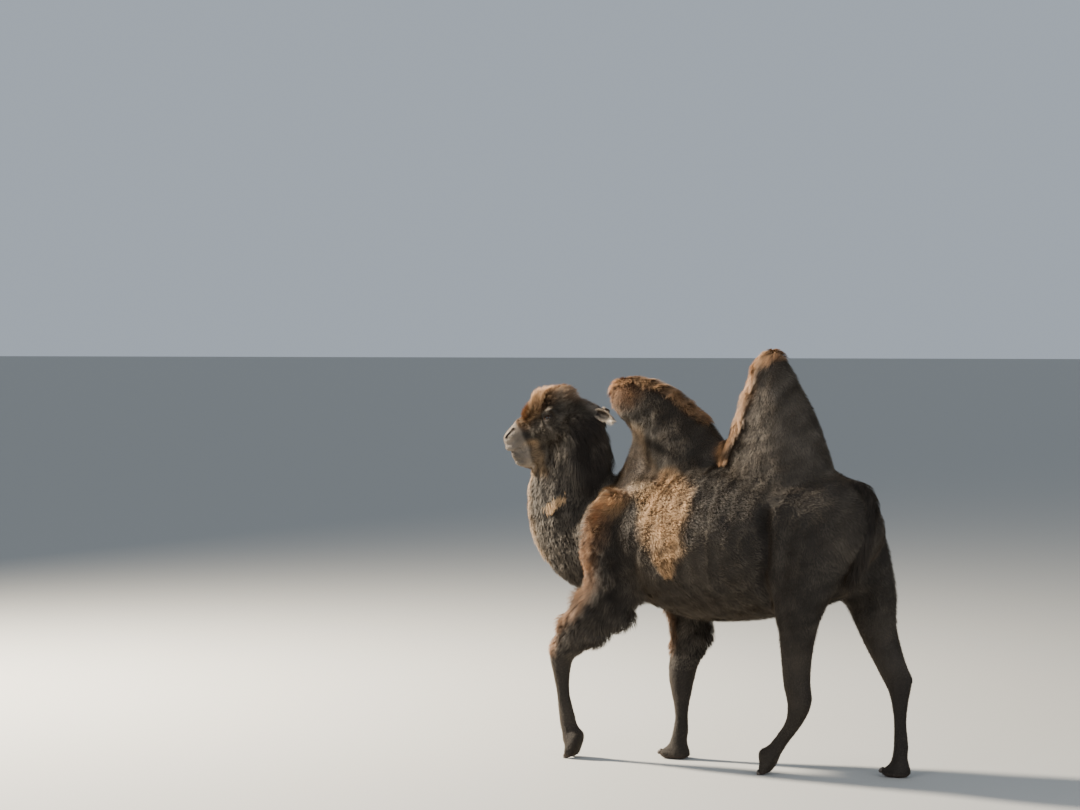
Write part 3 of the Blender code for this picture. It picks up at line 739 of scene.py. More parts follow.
modelled([(FLANK_FOLD, 0.050, 0.034),
          ([(0.46, 0.33, 1.16), (0.50, 0.31, 0.98), (0.54, 0.27, 0.88)], 0.060, 0.016),
          ([(0.80, 0.20, 1.46), (0.84, 0.21, 1.28), (0.84, 0.20, 1.08)], 0.070, 0.016),
          ((0.66, 0.24, 1.16), (0.16, 0.14, 0.26), 0.012), ((-0.52, 0.26, 1.10), (0.16, 0.14, 0.26), 0.012),
          ([(-0.400, -0.330, 1.24), (-0.420, -0.330, 1.035), (-0.430, -0.300, 0.90)], 0.060, 0.018),
          ([(0.33, -0.33, 1.16), (0.33, -0.31, 0.98), (0.34, -0.27, 0.88)], 0.060, 0.014)])

# %% Shins, knees and toes
KNEE = -6                           # a leg's knee or hock is its sixth station from the end
CLEFT = ((0.25, 0.085), (0.62, 0.055), (1.0, 0.030))    # between the toes: share of the foot's length, height
for leg, stations in LEGS.items():
    side = np.sign(stations[0][1])
    for out in (0.95, -0.95):       # a groove on each side of the cannon bone
        modelled([([(x - 0.35 * deep, y + side * out * wide, z) for x, y, z, deep, wide in stations[-5:-1]],
                   0.022, 0.0035)])
    skin.bulge(np.array(stations[KNEE][:3]) + (0.03, 0, 0), (0.05, 0.06, 0.06), 0.006)
    place, foot_length, _ = foot_place(leg)
    skin.crease([place @ Vector((fore * foot_length, 0, up)) for fore, up in CLEFT], 0.016, 0.010)
skin.places[:, 2] = np.maximum(skin.places[:, 2], SOLE_HEIGHT)

# %% Muzzle, lips, nostrils and brow
here = to_head(skin.places)         # the lower lip and chin narrowed, the upper lip brought a little over them
share = (1 - fade(here[:, 2], -0.128, -0.100)) * fade(here[:, 0], 0.34, 0.44)
here[:, 0] += 0.006 * share
here[:, 1] *= 1 - 0.12 * share
here[:, 2] -= 0.004 * share
skin.places = from_head(here)
MOUTH = [(0.516, 0.0, -0.106), (0.505, 0.026, -0.109), (0.474, 0.048, -0.111), (0.430, 0.060, -0.108),
         (0.398, 0.062, -0.100), (0.378, 0.066, -0.090)]
UNDER_LIP = [(0.505, 0.0, -0.156), (0.480, 0.030, -0.158), (0.430, 0.048, -0.154)]
NOSTRIL = [(0.458, 0.050, 0.020), (0.474, 0.051, 0.010), (0.490, 0.048, -0.006), (0.502, 0.042, -0.022)]
LEFT_FACE = [((0.470, 0.048, 0.026), (0.050, 0.026, 0.018), 0.008),
             ((0.478, 0.054, -0.016), (0.048, 0.026, 0.018), 0.007),
             (NOSTRIL, 0.0085, 0.013),
             ((0.495, 0.040, -0.082), (0.060, 0.040, 0.024), 0.008),
             ((0.470, 0.046, -0.130), (0.065, 0.034, 0.020), 0.007),
             ((0.440, 0.022, -0.182), (0.080, 0.040, 0.030), 0.010),
             ([(0.395, 0.070, 0.020), (0.425, 0.066, -0.020), (0.455, 0.066, -0.045), (0.490, 0.056, -0.055)],
              0.020, 0.006),
             ([(0.375, 0.070, -0.070), (0.395, 0.066, -0.120)], 0.016, 0.005),
             ((0.36, 0.052, 0.035), (0.10, 0.03, 0.024), 0.005),
             ([(0.262, 0.092, 0.030), (0.300, 0.080, 0.000)], 0.012, 0.004)]
LEFT_BROW = [((0.226, 0.096, 0.100), (0.060, 0.04, 0.022), 0.008),
             ([(0.275, 0.100, 0.040), (0.250, 0.104, 0.018), (0.215, 0.106, 0.020)], 0.010, 0.003)]


def on_side(side):
    """Takes a point of the left half of the face to the given side of the real one."""
    return lambda point: face(point[0], side * point[1], point[2])


def round_the_front(line):
    """A line that starts in the middle of the face, carried on over both sides."""
    right, left = (list(map(on_side(side), line)) for side in (-1.0, 1.0))
    return right[:0:-1] + left


skin.places = skin.spread(skin.places, 14, skin.near(round_the_front(MOUTH), 0.030))
for side in SIDES.values():
    modelled(LEFT_FACE, on_side(side))
before = skin.places.copy()
modelled([(round_the_front(MOUTH), 0.020, 0.005), (round_the_front(MOUTH), 0.008, 0.007),
          (round_the_front(UNDER_LIP), 0.020, 0.004)])
skin.held_inside(before)
skin.crease([face(0.530, 0, -0.030), face(0.550, 0, -0.065), face(0.540, 0, -0.095)], 0.011, 0.010)
skin.places = skin.spread(skin.places, 1, 0.30 * fade(to_head(skin.places)[:, 0], 0.12, 0.18))

# %% Eye sockets
eye_out = {}
for side in SIDES.values():
    middle = on_side(side)(EYE_SEAT)
    outward = np.array(HEAD.to_3x3() @ Vector((0.10, side * 0.985, 0.10)).normalized())
    eye_out[side] = (middle, outward)
    away = skin.places - middle
    lifted = away @ outward
    reach = np.linalg.norm(away - lifted[:, None] * outward, axis=1)
    pull = (1 - fade(reach, 0.018, 0.036)) * (lifted > -0.03) * (np.linalg.norm(away, axis=1) < 0.06)
    skin.places = skin.places - np.outer(pull * (lifted + 0.004).clip(0, 0.02), outward)
    modelled(LEFT_BROW, on_side(side))
print("eye middles:", [tuple(np.round(row[0], 3)) for row in eye_out.values()])

# %% [markdown]
# ## Lids, ears and tail
#
# An eyelid is a ring of skin that leaves an almond opening, lies close on the eyeball, and runs out under the
# fur round it. It is cleaner to make that ring row by row than to press it out of the face. The ear is a
# short cupped leaf. Both are joined to the skin as part of one mesh, with their roots inside it.

# %% Eyelids
LID_STEPS = 40
LID_LENGTH = 0.0195                 # half the opening, from corner to corner
LID_UP, LID_DOWN = 0.0135, 0.0110   # how far the lids stand open above and below the line of the corners
LID_REACH = np.array((0.038, 0.034))    # half length and half height of the whole ring
LID_SHARES = (0.0, 0.0, 0.05, 0.12, 0.24, 0.34, 0.44, 0.60, 0.80, 1.0)     # from the rim to under the fur
LID_RISES = (-0.0020, 0.0016, 0.0034, 0.0040, 0.0026, 0.0040, 0.0030, 0.0, 0.0, 0.0)


def lids(side, ground_tree):
    """Upper and lower lid as one almond ring, from the rim on the eyeball out to under the fur."""
    middle, outward = eye_out[side]
    ahead = np.array(HEAD.to_3x3() @ Vector((0.985, -0.10 * side, -0.16)))
    ahead = unit(ahead - outward * (ahead @ outward))
    up = np.cross(outward, ahead) * side
    up = up * np.sign(up[2])
    turn = np.linspace(0, 2 * math.pi, LID_STEPS, endpoint=False)
    long, high = np.cos(turn), np.sin(turn)
    half_height = np.where(high > 0, LID_UP, LID_DOWN) * (1 - 0.25 * long ** 2)
    opening = np.stack([LID_LENGTH * long, half_height * np.sign(high) * np.abs(high) ** 0.85], axis=1)
    outer = LID_REACH * np.stack([long, high], axis=1)
    rows = []
    for share, rise in zip(LID_SHARES, LID_RISES):
        flat = mix(opening, outer, share)
        lift = np.sqrt(np.maximum((EYE_RADIUS + rise) ** 2 - (flat ** 2).sum(axis=1), 0.004 ** 2))
        row = middle + flat[:, :1] * ahead + flat[:, 1:] * up
        hits = [ground_tree.find_n(spot, 5) for spot in row + 0.008 * outward]
        ground = np.array([np.mean([(np.array(hit[0]) - middle) @ outward for hit in group]) for group in hits])
        ground = ground + 0.002 - 0.010 * fade(share, 0.75, 1.0)
        lift = mix(lift, ground, fade(share, 0.20, 0.62))
        rows.append(row + lift[:, None] * outward)
    mesh = tube(rows)
    bmesh.ops.recalc_face_normals(mesh, faces=mesh.faces)
    return mesh, (ahead, up, opening)


# %% Ears and dock
EAR_STEPS, EAR_ACROSS = 14, 13
EAR_LENGTH, EAR_HALF_WIDTH, EAR_CUP, EAR_THICKNESS = 0.130, 0.029, 0.021, 0.0042
# From root to tip, and the way it opens: the left ear is laid back along the head, the right one held out.
EAR_LIES = {1.0: ((-0.86, 0.38, -0.30), (0.25, 0.90, -0.10)), -1.0: ((0.30, -0.93, -0.08), (0.90, 0.10, -0.15))}


def ear(side):
    """A cupped leaf with a rolled rim."""
    along, opening = (unit(np.array(way)) for way in EAR_LIES[side])
    opening = unit(opening - along * (opening @ along))
    wide = np.cross(along, opening)
    root = np.array([-0.030, side * 0.098, 0.058])
    a = np.linspace(-1, 1, EAR_ACROSS)
    rows = []
    for v in np.linspace(0, 1, EAR_STEPS):
        half = EAR_HALF_WIDTH * max(math.sin(math.pi * min(v * 0.86 + 0.13, 1.0)), 0.0) ** 0.62 + 0.002
        cup = EAR_CUP * (1 - v) ** 0.6 + 0.003
        thick = EAR_THICKNESS * (1 - 0.4 * v)
        centre = root + along * (EAR_LENGTH * v) + opening * (0.010 * v)
        front = centre + np.outer(a * half, wide) - np.outer(cup * (1 - a * a), opening)
        back = front - opening * thick * (1 - 0.6 * a * a)[:, None] + np.outer(a * 0.001, wide)
        rows.append(from_head(np.concatenate([front, back[::-1]])))
    mesh = tube(rows)
    tip = mesh.verts[-2 * EAR_ACROSS:]
    for i in range(EAR_ACROSS - 1):
        mesh.faces.new((tip[i], tip[i + 1], tip[-2 - i], tip[-1 - i]))
    bmesh.ops.recalc_face_normals(mesh, faces=mesh.faces)
    return mesh


DOCK = [(-0.660, 0.000, 1.500, 0.045, 0.040), (-0.735, 0.010, 1.470, 0.036, 0.032),
        (-0.776, 0.035, 1.400, 0.028, 0.026), (-0.782, 0.075, 1.310, 0.025, 0.023),
        (-0.766, 0.105, 1.215, 0.022, 0.020), (-0.734, 0.123, 1.140, 0.016, 0.015),
        (-0.712, 0.132, 1.100, 0.006, 0.006)]       # the fleshy part of the tail


# %% Join them to the skin
def added(mesh, kind):
    """Joins a small mesh to the skin's mesh and returns its points' numbers."""
    first = len(skin_data.vertices)
    joined = bmesh.new()
    joined.from_mesh(skin_data)
    add_form(joined, mesh)
    joined.to_mesh(skin_data)
    joined.free()
    numbers = np.arange(first, len(skin_data.vertices))
    extra_kinds.append(np.full(len(numbers), kind))
    return numbers


skin.normals()
extra_kinds = []
lid_shape, lid_points, ear_points = {}, {}, {}
ground_tree = tree_of(skin.places)
for side in SIDES.values():
    ring, lid_shape[side] = lids(side, ground_tree)
    lid_points[side] = added(ring, "lid")
    ear_points[side] = added(ear(side), "ear")
added(loft(DOCK, "tail", (1.0, 0, 0, -0.2), ring=16, steps=4), "tail")
skin = Cloth(skin_data)
print("skin:", len(skin.places), "points,", len(skin_data.polygons), "faces")

# %% Lie and length of hair on lids, ears and tail
extra_kinds = np.concatenate(extra_kinds)
kinds = np.concatenate([kinds, extra_kinds])
extra_place = skin.places[-len(extra_kinds):]
extra_flow = np.tile((0.0, 0.0, -1.0), (len(extra_kinds), 1))
ear_rows, lid_rows, tail_rows = (extra_kinds == kind for kind in ("ear", "lid", "tail"))
for side in SIDES.values():
    this_ear = ear_rows & (to_head(extra_place)[:, 1] * side > 0)
    extra_flow[this_ear] = unit(HEAD_TURN @ np.array(EAR_LIES[side][0]))
extra_flow[lid_rows] = HEAD_TURN @ np.array([-1.0, 0.0, -0.2])
hang = 1 - fade(extra_place[tail_rows][:, 2], 1.16, 1.34)
extra_flow[tail_rows] = unit(np.array([0.0, 0.16, -1.0]) + np.array([0.36, 0.10, 0.0]) * hang[:, None])
tail_length = mix(0.13, 0.050, fade(extra_place[:, 2], 1.12, 1.35))
depth = np.concatenate([depth, np.select([ear_rows, tail_rows], [0.004, 0.018], 0.002)])
length = np.concatenate([length, np.select([ear_rows, tail_rows], [0.020, tail_length], 0.009)])
flow = unit(np.concatenate([flow, extra_flow]))
for middle, outward in eye_out.values():
    away = skin.places - middle
    flow = mix(flow, unit(away), 0.75 * (1 - fade(np.linalg.norm(away, axis=1), 0.020, 0.060))[:, None])
print("hair length from", round(length.min(), 4), "to", round(length.max(), 4), "m")

# %% [markdown]
# ## Markings
#
# The winter coat is a dark umber. The crown, the tips of the humps, the shoulder's edge and the front of the
# forearms are rusty, and the muzzle and the ears' rims are a pale fawn. Some markings are painted light. The gold
# and pale on the withers and on a patch behind the shoulder, a pale stripe along the front hump's top, a pale
# rim over the poll, a faint pale wash on the rear hump and a small golden spot beside the mouth are painted
# sunlight. Dark in the flank fold, behind the elbows, under the face wool's front edge, on the lower lip, chin
# and muzzle side, in the mouth, the nostrils and the ears' cups is painted shade. Each marking is a soft patch
# round a named line. Its edge is broken up by slow waves, so that no edge is a clean curve. Skin and hair both
# ask this one function.

# %% Soft patches
WAVES = unit(rng.normal(size=(9, 3)))
PHASES = rng.uniform(0, 2 * math.pi, size=(9,))


def ripple(points, size):
    """A slow, irregular wave over the points, about -1 to 1."""
    total = np.zeros(len(points))
    for i, (direction, phase) in enumerate(zip(WAVES, PHASES)):
        total += np.sin(points @ direction * (2 * math.pi / size) * (0.6 + 0.11 * i) + phase + 11.0 / size)
    return total / 3.0


def patch(points, path, radius=1.0, soft=0.5):
    """1 near a line through the path's points, 0 away from it."""
    reach = gap_to(points, path, SPAN_STEPS, radius) + 0.22 * ripple(points, 0.21)
    return 1 - fade(reach, 1 - soft, 1 + soft)


def mirrored(path):
    return [(row[0], -row[1], *row[2:]) for row in path]


def strongest(*masks):
    return np.clip(np.max(masks, axis=0), 0, 1)


# %% Lines that colours and fringes follow
# A fourth number in a row is the marking's own radius there.
# The gold and pale on WEDGE, WEDGE_TOP and WITHERS are painted sunlight, laid where a low sun from ahead lights the
# coat; WEDGE and WEDGE_TOP also say where the curly side wool grows.
WEDGE = [(0.34, 0.15, 1.54, 0.07), (0.29, 0.27, 1.42, 0.13), (0.26, 0.33, 1.27, 0.120), (0.27, 0.35, 1.15, 0.075),
         (0.26, 0.33, 1.06, 0.035)]
WEDGE_TOP = [(0.53, 0.11, 1.61, 0.060), (0.47, 0.15, 1.54, 0.080), (0.43, 0.22, 1.45, 0.070),
             (0.38, 0.28, 1.36, 0.075)]
WITHERS = [(0.61, 0.05, 1.75), (0.58, 0.08, 1.66), (0.56, 0.10, 1.57), (0.59, 0.15, 1.49), (0.63, 0.20, 1.43)]
CAPE = [(0.61, 0.20, 1.44), (0.66, 0.23, 1.40), (0.70, 0.26, 1.32), (0.73, 0.28, 1.22), (0.75, 0.28, 1.13),
        (0.76, 0.27, 0.98)]
FRONT_CREST = [(0.20, 0.02, 1.86), (0.32, 0.02, 1.955), (0.46, 0.03, 2.035), (0.60, 0.04, 2.07), (0.72, 0.04, 2.04)]
REAR_FRINGE = [(0.06, 0.04, 1.66), (0.02, 0.04, 1.75), (-0.03, 0.04, 1.85), (-0.06, 0.04, 1.95),
               (-0.10, 0.03, 2.06), (-0.14, 0.01, 2.15), (-0.20, 0.0, 2.20)]

# %% Table of markings
# Each marking is a strength, whose frame the path is in, the path, its radius, and how soft its edge is. A
# face path stands for both halves of the face, and a body path in "both" has a mirrored one beside it.
MARKS = {
    "rust": [(0.60, "face", [(0.33, 0, 0.18), (0.24, 0, 0.24)], 0.075, 0.7),
             (0.34, "face", [(0.43, 0, 0.06), (0.38, 0, 0.12)], 0.065, 0.7),
             (0.50, "face", [(0.16, 0, 0.23), (0.08, 0, 0.17)], 0.06, 0.7),
             (0.9, "body", [(0.76, 0.03, 1.93), (0.72, 0.03, 2.01)], 0.060),
             (0.62, "body", [(0.71, 0.07, 1.96), (0.63, 0.08, 2.01)], 0.080, 0.8),
             (0.26, "both", WEDGE), (0.45, "body", FRONT_CREST, 0.050), (0.72, "body", REAR_FRINGE, 0.060),
             (0.75, "both", CAPE, 0.060, 0.7),
             (0.60, "body", [(0.78, 0.24, 0.92), (0.93, 0.20, 0.78), (1.03, 0.16, 0.64)], 0.070),
             (0.60, "body", [(0.55, -0.22, 1.00), (0.50, -0.18, 0.80), (0.47, -0.17, 0.60)], 0.065)],
    "gold": [(0.48, "face", [(0.42, 0, 0.08), (0.34, 0, 0.17), (0.24, 0, 0.24)], 0.065, 0.7),
             (0.65, "body", [(1.19, 0.04, 1.62), (1.24, 0.03, 1.38), (1.17, 0.01, 1.10)], 0.075, 0.7),
             # Painted sunlight: gold on the patch behind the shoulder, on its top and on the withers.
             (0.85, "both", WEDGE), (0.78, "both", WEDGE_TOP), (0.85, "both", WITHERS, 0.085, 0.6),
             (0.60, "body", REAR_FRINGE, 0.050),
             (0.55, "face", [(0.36, 0.06, -0.08), (0.345, 0.06, -0.16), (0.30, 0.05, -0.22)], 0.040),
             # Painted sunlight: a small golden spot on the side of the muzzle near the mouth's corner.
             (0.50, "face", [(0.392, 0.055, -0.073)], 0.022)],
    # The first two pale marks, on the withers and on the top of the patch behind the shoulder, are painted
    # sunlight.
    "pale": [(0.66, "both", WITHERS[:4], 0.060, 0.7), (0.40, "both", WEDGE_TOP[:2]),
             # Painted highlight: a pale stripe along the top of the front hump, where the sun catches its ridge.
             (0.45, "body", [(0.30, -0.02, 1.96), (0.50, 0.0, 2.07), (0.66, 0.02, 2.09)], 0.035),
             # Painted sunlight: a pale rim at the back of the crown and over the poll.
             (0.72, "face", [(0.10, 0, 0.21), (0.0, 0.03, 0.13), (-0.07, 0.08, 0.07)], 0.055),
             # Painted sky light: a faint pale wash over both sides of the rear hump.
             (0.16, "both", [(-0.16, 0.08, 1.98), (-0.26, 0.09, 1.80), (-0.40, 0.10, 1.66)], 0.20, 0.8),
             (0.65, "face", [(0.250, 0.10, 0.100), (0.272, 0.10, 0.085)], 0.016),
             (0.65, "face", [(0.262, 0.105, 0.020), (0.248, 0.105, 0.000), (0.245, 0.105, -0.028)], 0.019)],
    # Painted shade: dark in the flank fold before the thigh.
    "dark": [(0.75, "body", FLANK_FOLD, 0.030),
             # Painted shade on the face: dark on the lower lip under the upper lip's overhang, and on the muzzle's
             # side behind the nostril.
             (0.38, "face", [(0.49, 0.03, -0.125), (0.44, 0.05, -0.135), (0.40, 0.06, -0.125)], 0.026),
             (0.30, "face", [(0.43, 0.065, -0.035), (0.395, 0.065, -0.03)], 0.032),
             # Painted shadow: a thin dark line just behind the front edge of the face wool.
             (0.55, "face", [(0.375, 0.06, 0.012), (0.362, 0.065, -0.06), (0.352, 0.065, -0.12)], 0.014),
             (0.60, "face", [(0.05, 0.12, -0.03), (0.0, 0.12, -0.14), (0.0, 0.12, -0.25)], 0.095),
             # Painted shade: dark under the chin.
             (0.40, "face", [(0.45, 0.03, -0.165), (0.40, 0.045, -0.175)], 0.042, 0.7),
             # Painted shade: dark behind the elbow and under the shoulder, on each side.
             (0.50, "body", [(0.56, 0.29, 1.13), (0.62, 0.29, 0.97), (0.70, 0.27, 0.84), (0.80, 0.25, 0.74)],
              0.135, 0.8),
             (0.50, "body", [(0.50, -0.29, 1.12), (0.46, -0.29, 0.95), (0.40, -0.27, 0.80), (0.38, -0.25, 0.70)],
              0.135, 0.8),
             (0.38, "body", [(-0.40, 0.28, 0.90), (-0.43, 0.26, 0.70)], 0.14, 0.8),
             (0.38, "body", [(-0.60, -0.28, 0.90), (-0.69, -0.26, 0.72)], 0.14, 0.8)]}
# Painted shade: where the pale of the muzzle is taken down, on the lower lip and on the side behind the nostril.
PAINTED_MUZZLE_SHADE = [(0.50, [(0.43, 0.06, -0.12), (0.46, 0.05, -0.15)], 0.045, 0.7),
                 (0.35, [(0.42, 0.07, -0.02), (0.44, 0.07, -0.07)], 0.034, 0.8)]
print("markings:", {key: len(rows) for key, rows in MARKS.items()})


# %% Markings at any point
def markings(points):
    """How rusty, golden, pale, dark and bare the animal is at each point, from 0 to 1."""
    # Some of the gold and pale laid here is painted sunlight, and some of the dark is painted shade.
    here = to_head(points)
    both = np.abs(here) * (0, 1, 0) + here * (1, 0, 1)      # left half of the face stands for both
    near_head = fade(points[:, 2], 1.50, 1.60) * fade(points[:, 0], 0.72, 0.80)

    def mask(frame_of, path, *edge):
        if frame_of == "face":
            return near_head * patch(both, path, *edge)
        if frame_of == "body":
            return patch(points, path, *edge)
        return np.maximum(patch(points, path, *edge), patch(points, mirrored(path), *edge))

    found = {key: strongest(*(strength * mask(*where) for strength, *where in rows))
             for key, rows in MARKS.items()}
    muzzle = 0.86 * near_head * (1 - fade(behind_edge(here), -0.022, 0.002)) * fade(here[:, 2], -0.215, -0.190)
    # Painted shade takes down the pale on the lower lip and on the muzzle's side.
    for strength, *where in PAINTED_MUZZLE_SHADE:
        muzzle *= 1 - strength * mask("face", *where)
    slit = near_head * (1 - fade(gap_to(both, NOSTRIL, 4), 0.0085, 0.0155))
    mouth = near_head * (1 - fade(gap_to(both, MOUTH), 0.006, 0.016))
    sole = 1 - fade(points[:, 2], 0.004, 0.030)
    lips = near_head * fade(here[:, 0], 0.47, 0.50) * (1 - fade(here[:, 2], -0.07, -0.03))
    found["pale"] = strongest(found["pale"], muzzle)
    # In the nostril slits and the mouth's gap the dark is painted shade; the legs also grow darker towards the
    # ground.
    found["dark"] = strongest(found["dark"], 0.95 * slit, 0.85 * mouth, 0.35 * fade(points[:, 2], 0.62, 0.40))
    found["bare"] = strongest(0.30 * lips, mouth, slit, sole)
    return found


def paint(data, values):
    """Stores numbers on a mesh's points, where the finishes can read them."""
    for name, numbers in values.items():
        layer = data.attributes.new(name, "FLOAT", "POINT")
        layer.data.foreach_set("value", np.asarray(numbers, dtype=np.float32))


# %% Mark the skin
skin_marks = markings(skin.places)
lid_row = np.repeat(np.arange(len(LID_SHARES)), LID_STEPS)
rim = np.tile(np.concatenate([np.abs(np.linspace(-1, 1, EAR_ACROSS))] * 2), EAR_STEPS)
inner = np.tile(np.repeat((1.0, 0.0), EAR_ACROSS), EAR_STEPS)
for side in SIDES.values():
    on_ear, on_lid = ear_points[side], lid_points[side]
    # Painted shade: dark inside the ear's cup, fading out towards its rim.
    skin_marks["dark"][on_ear] = 0.95 * inner * (1 - fade(rim, 0.45, 0.85))
    skin_marks["pale"][on_ear] = 0.70 * fade(rim, 0.55, 0.92)
    skin_marks["dark"][on_lid] = strongest(0.85 * (1 - fade(lid_row, 3.0, 5.0)), skin_marks["dark"][on_lid])
    skin_marks["bare"][on_lid] = 0.5 * (1 - fade(lid_row, 3.0, 6.0))
    skin_marks["pale"][on_lid] *= fade(lid_row, 5.0, 8.0)
paint(skin_data, skin_marks)
paint(skin_data, {"shade": np.full(len(skin.places), 0.35), "along": np.full(len(skin.places), 0.15)})
print({name: round(float(numbers.mean()), 3) for name, numbers in skin_marks.items()})

# %% [markdown]
# ## Finish of skin and hair
#
# Hair is dark at the root and bleached at the tip, and no two locks have quite the same colour. So the finish
# reads numbers from the mesh: the markings at that place, how far along the lock the point is, and a random
# shade for each lock. Slow noise over the body adds sun-bleached and dusty places.

# %% Coat and skin finish
UMBER_DEEP, UMBER, UMBER_TIP = rgb(39, 35, 32), rgb(64, 59, 53), rgb(103, 93, 81)
RUST, GOLD, FAWN = rgb(158, 110, 70), rgb(192, 154, 110), rgb(180, 166, 150)
# The darkest brown is dark hair and also painted shade in folds, recesses and under overhangs.
DARK_HAIR_AND_SHADE, HIDE = rgb(22, 17, 15), rgb(78, 68, 64)


def coat_finish(name):
    made = Finish(name, Roughness=0.72, Specular_IOR_Level=0.16, Sheen_Weight=0.12,
                  Sheen_Tint=rgb(210, 170, 120), Sheen_Roughness=0.45)
    along, shade = made.painted("along"), made.painted("shade")
    rust, gold, pale, dark, bare = (made.painted(key) for key in ("rust", "gold", "pale", "dark", "bare"))
    slow = made.grain(3.2)
    rough = (made.grain(26.0) - 0.5) * 0.7
    depth_of = (along * 0.75 + 0.25).clamped()
    base = made.blend((along * 1.15 - 0.05).clamped(), UMBER_DEEP, UMBER)
    # Gold and pale also carry painted sunlight, and dark also carries painted shade.
    for share, colour in ((along * along * (shade * 1.1 - 0.15) + (slow - 0.52) * 0.9, UMBER_TIP),
                          (gold * depth_of * (shade * 0.6 + 0.55) + rough * gold, GOLD),
                          (rust * depth_of * (shade * 0.5 + 0.65) + rough * rust, RUST),
                          (pale * (along * 0.5 + 0.5) * (shade * 0.5 + 0.65), FAWN),
                          ((made.grain(34.0, 4.0) - 0.46) * pale * 2.2, HIDE), (bare, HIDE), (dark * 0.9, DARK_HAIR_AND_SHADE)):
        base = made.blend(share.clamped(), base, colour)
    shaded = made.node("ShaderNodeHueSaturation", {}, {"Color": base, "Value": shade * 0.7 + 0.65})
    made.wear("Base Color", shaded)
    return made


skin_finish = coat_finish("skin_under_coat")
skin_finish.bump(skin_finish.grain(420.0, 2.0) * 0.6 + skin_finish.grain(90.0), 0.004, 0.7)
hair_finish = coat_finish("winter_coat")


# %% Put the skin in the scene
def placed(name, data, finish, replaces=()):
    """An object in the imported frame, riding with it."""
    data.transform(Matrix.Translation(SHIFT))
    data.materials.clear()
    data.materials.append(finish.material)
    data.shade_smooth()
    made = in_scene(name, data)
    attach(made, "root")
    if replaces:
        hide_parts(*replaces)
    return made


surface = {"places": skin.places.copy(), "normals": skin.normals(), "flow": flow, "depth": depth, "length": length}
flesh = [name for name in frame["nodes"] if not name.startswith(("eye_", "nail_"))]
skin_object = placed("skin", skin_data, skin_finish, flesh)
print("the skin takes the place of", len(flesh), "packed nodes")

# %% [markdown]
# ## Eyes
#
# A camel's eye is large, dark brown and wet, with a wide pupil that lies flat. The ball is one sphere with a
# slight cornea bulge. The mesh stores how far each point is from the eye's axis, and the finish turns that
# into pupil, iris and white.

# %% Eyeballs
CORNEA = 0.0016                     # how far it stands out of the ball
eye_finish = Finish("wet_eye", Roughness=0.06, Coat_Weight=0.25, Specular_IOR_Level=0.3, Coat_Roughness=0.02)
ring_share = eye_finish.painted("ring") + (eye_finish.grain(900.0, 2.0) - 0.5) * 0.05
eye_colours = [(0.30, rgb(5, 4, 4)), (0.38, rgb(34, 20, 12)), (0.66, rgb(52, 31, 17)), (0.76, rgb(14, 10, 8)),
               (0.86, rgb(58, 46, 40))]
eye_finish.wear("Base Color", eye_finish.node("ShaderNodeValToRGB", {"stops": eye_colours}, {"Fac": ring_share}))
for side_name, side in SIDES.items():
    middle, outward = eye_out[side]
    ahead, up, opening = lid_shape[side]
    mesh = bmesh.new()
    bmesh.ops.create_uvsphere(mesh, u_segments=48, v_segments=32, radius=EYE_RADIUS)
    data = as_data(mesh, f"eyeball_{side_name}")
    points = read(data.vertices, "co", width=3).astype(float)
    axis = unit(outward + 0.10 * ahead)
    facing = points @ axis / EYE_RADIUS
    cornea = CORNEA * fade(facing, 0.80, 1.0)
    paint(data, {"ring": np.sqrt(np.clip(1 - facing, 0, 2)) / 0.75 * np.where(facing > 0, 1, 2)
                 + 0.10 * np.abs(points @ up) / EYE_RADIUS})
    points = middle + points + cornea[:, None] * axis
    data.vertices.foreach_set("co", points.astype(np.float32).ravel())
    placed(f"eyeball_{side_name}", data, eye_finish, [f"eye_{side_name}"])
print("eyes placed")

# %% [markdown]
# ## The coat
#
# Real fur is millions of hairs, but hairs stick together in locks, and at this size it is the locks that show.
# Each lock here is a thin folded blade of mesh: left edge, raised ridge, right edge, and a point. It leaves
# the skin, rises by the coat's depth and then lies along the body, so that rows of locks overlap like thatch.
# Neighbouring locks lean towards a shared point, which gives the shaggy clumps of camel wool.
#
# For baking, a lock's colour needs a small place of its own on a map, so each region of skin is
# unwrapped on its own, and each lock gets a patch of that unwrap where it is rooted.

# %% Read the skin as triangles
def region_of(chosen, name):
    """The chosen faces of the skin as triangles, with a fresh unwrap of their own shape."""
    mesh = bmesh.new()
    mesh.from_mesh(skin_object.data)
    numbers = mesh.verts.layers.int.new("number")
    for vertex in mesh.verts:
        vertex[numbers] = vertex.index
    lost = [f for f in mesh.faces if not any(chosen[v.index] for v in f.verts)]
    bmesh.ops.delete(mesh, geom=lost, context="FACES")
    bmesh.ops.triangulate(mesh, faces=mesh.faces)
    data = as_data(mesh, name)
    made = in_scene(name, data)
    bpy.context.view_layer.objects.active = made
    for other in bpy.context.view_layer.objects:
        other.select_set(other is made)
    data.uv_layers.new(name="unwrap")
    bpy.ops.object.mode_set(mode="EDIT")
    bpy.ops.mesh.select_all(action="SELECT")
    bpy.ops.uv.smart_project(angle_limit=math.radians(75), island_margin=0.004)
    bpy.ops.object.mode_set(mode="OBJECT")
    corners = read(data.loops, "vertex_index", np.int32)
    flat = read(data.uv_layers["unwrap"].data, "uv", width=2)
    skin_number = read(data.attributes["number"].data, "value", np.int32)
    bpy.data.objects.remove(made)
    bpy.data.meshes.remove(data)
    return skin_number[corners].reshape(-1, 3), flat.reshape(-1, 3, 2)


# %% Root locks
DENSITY = 1.0


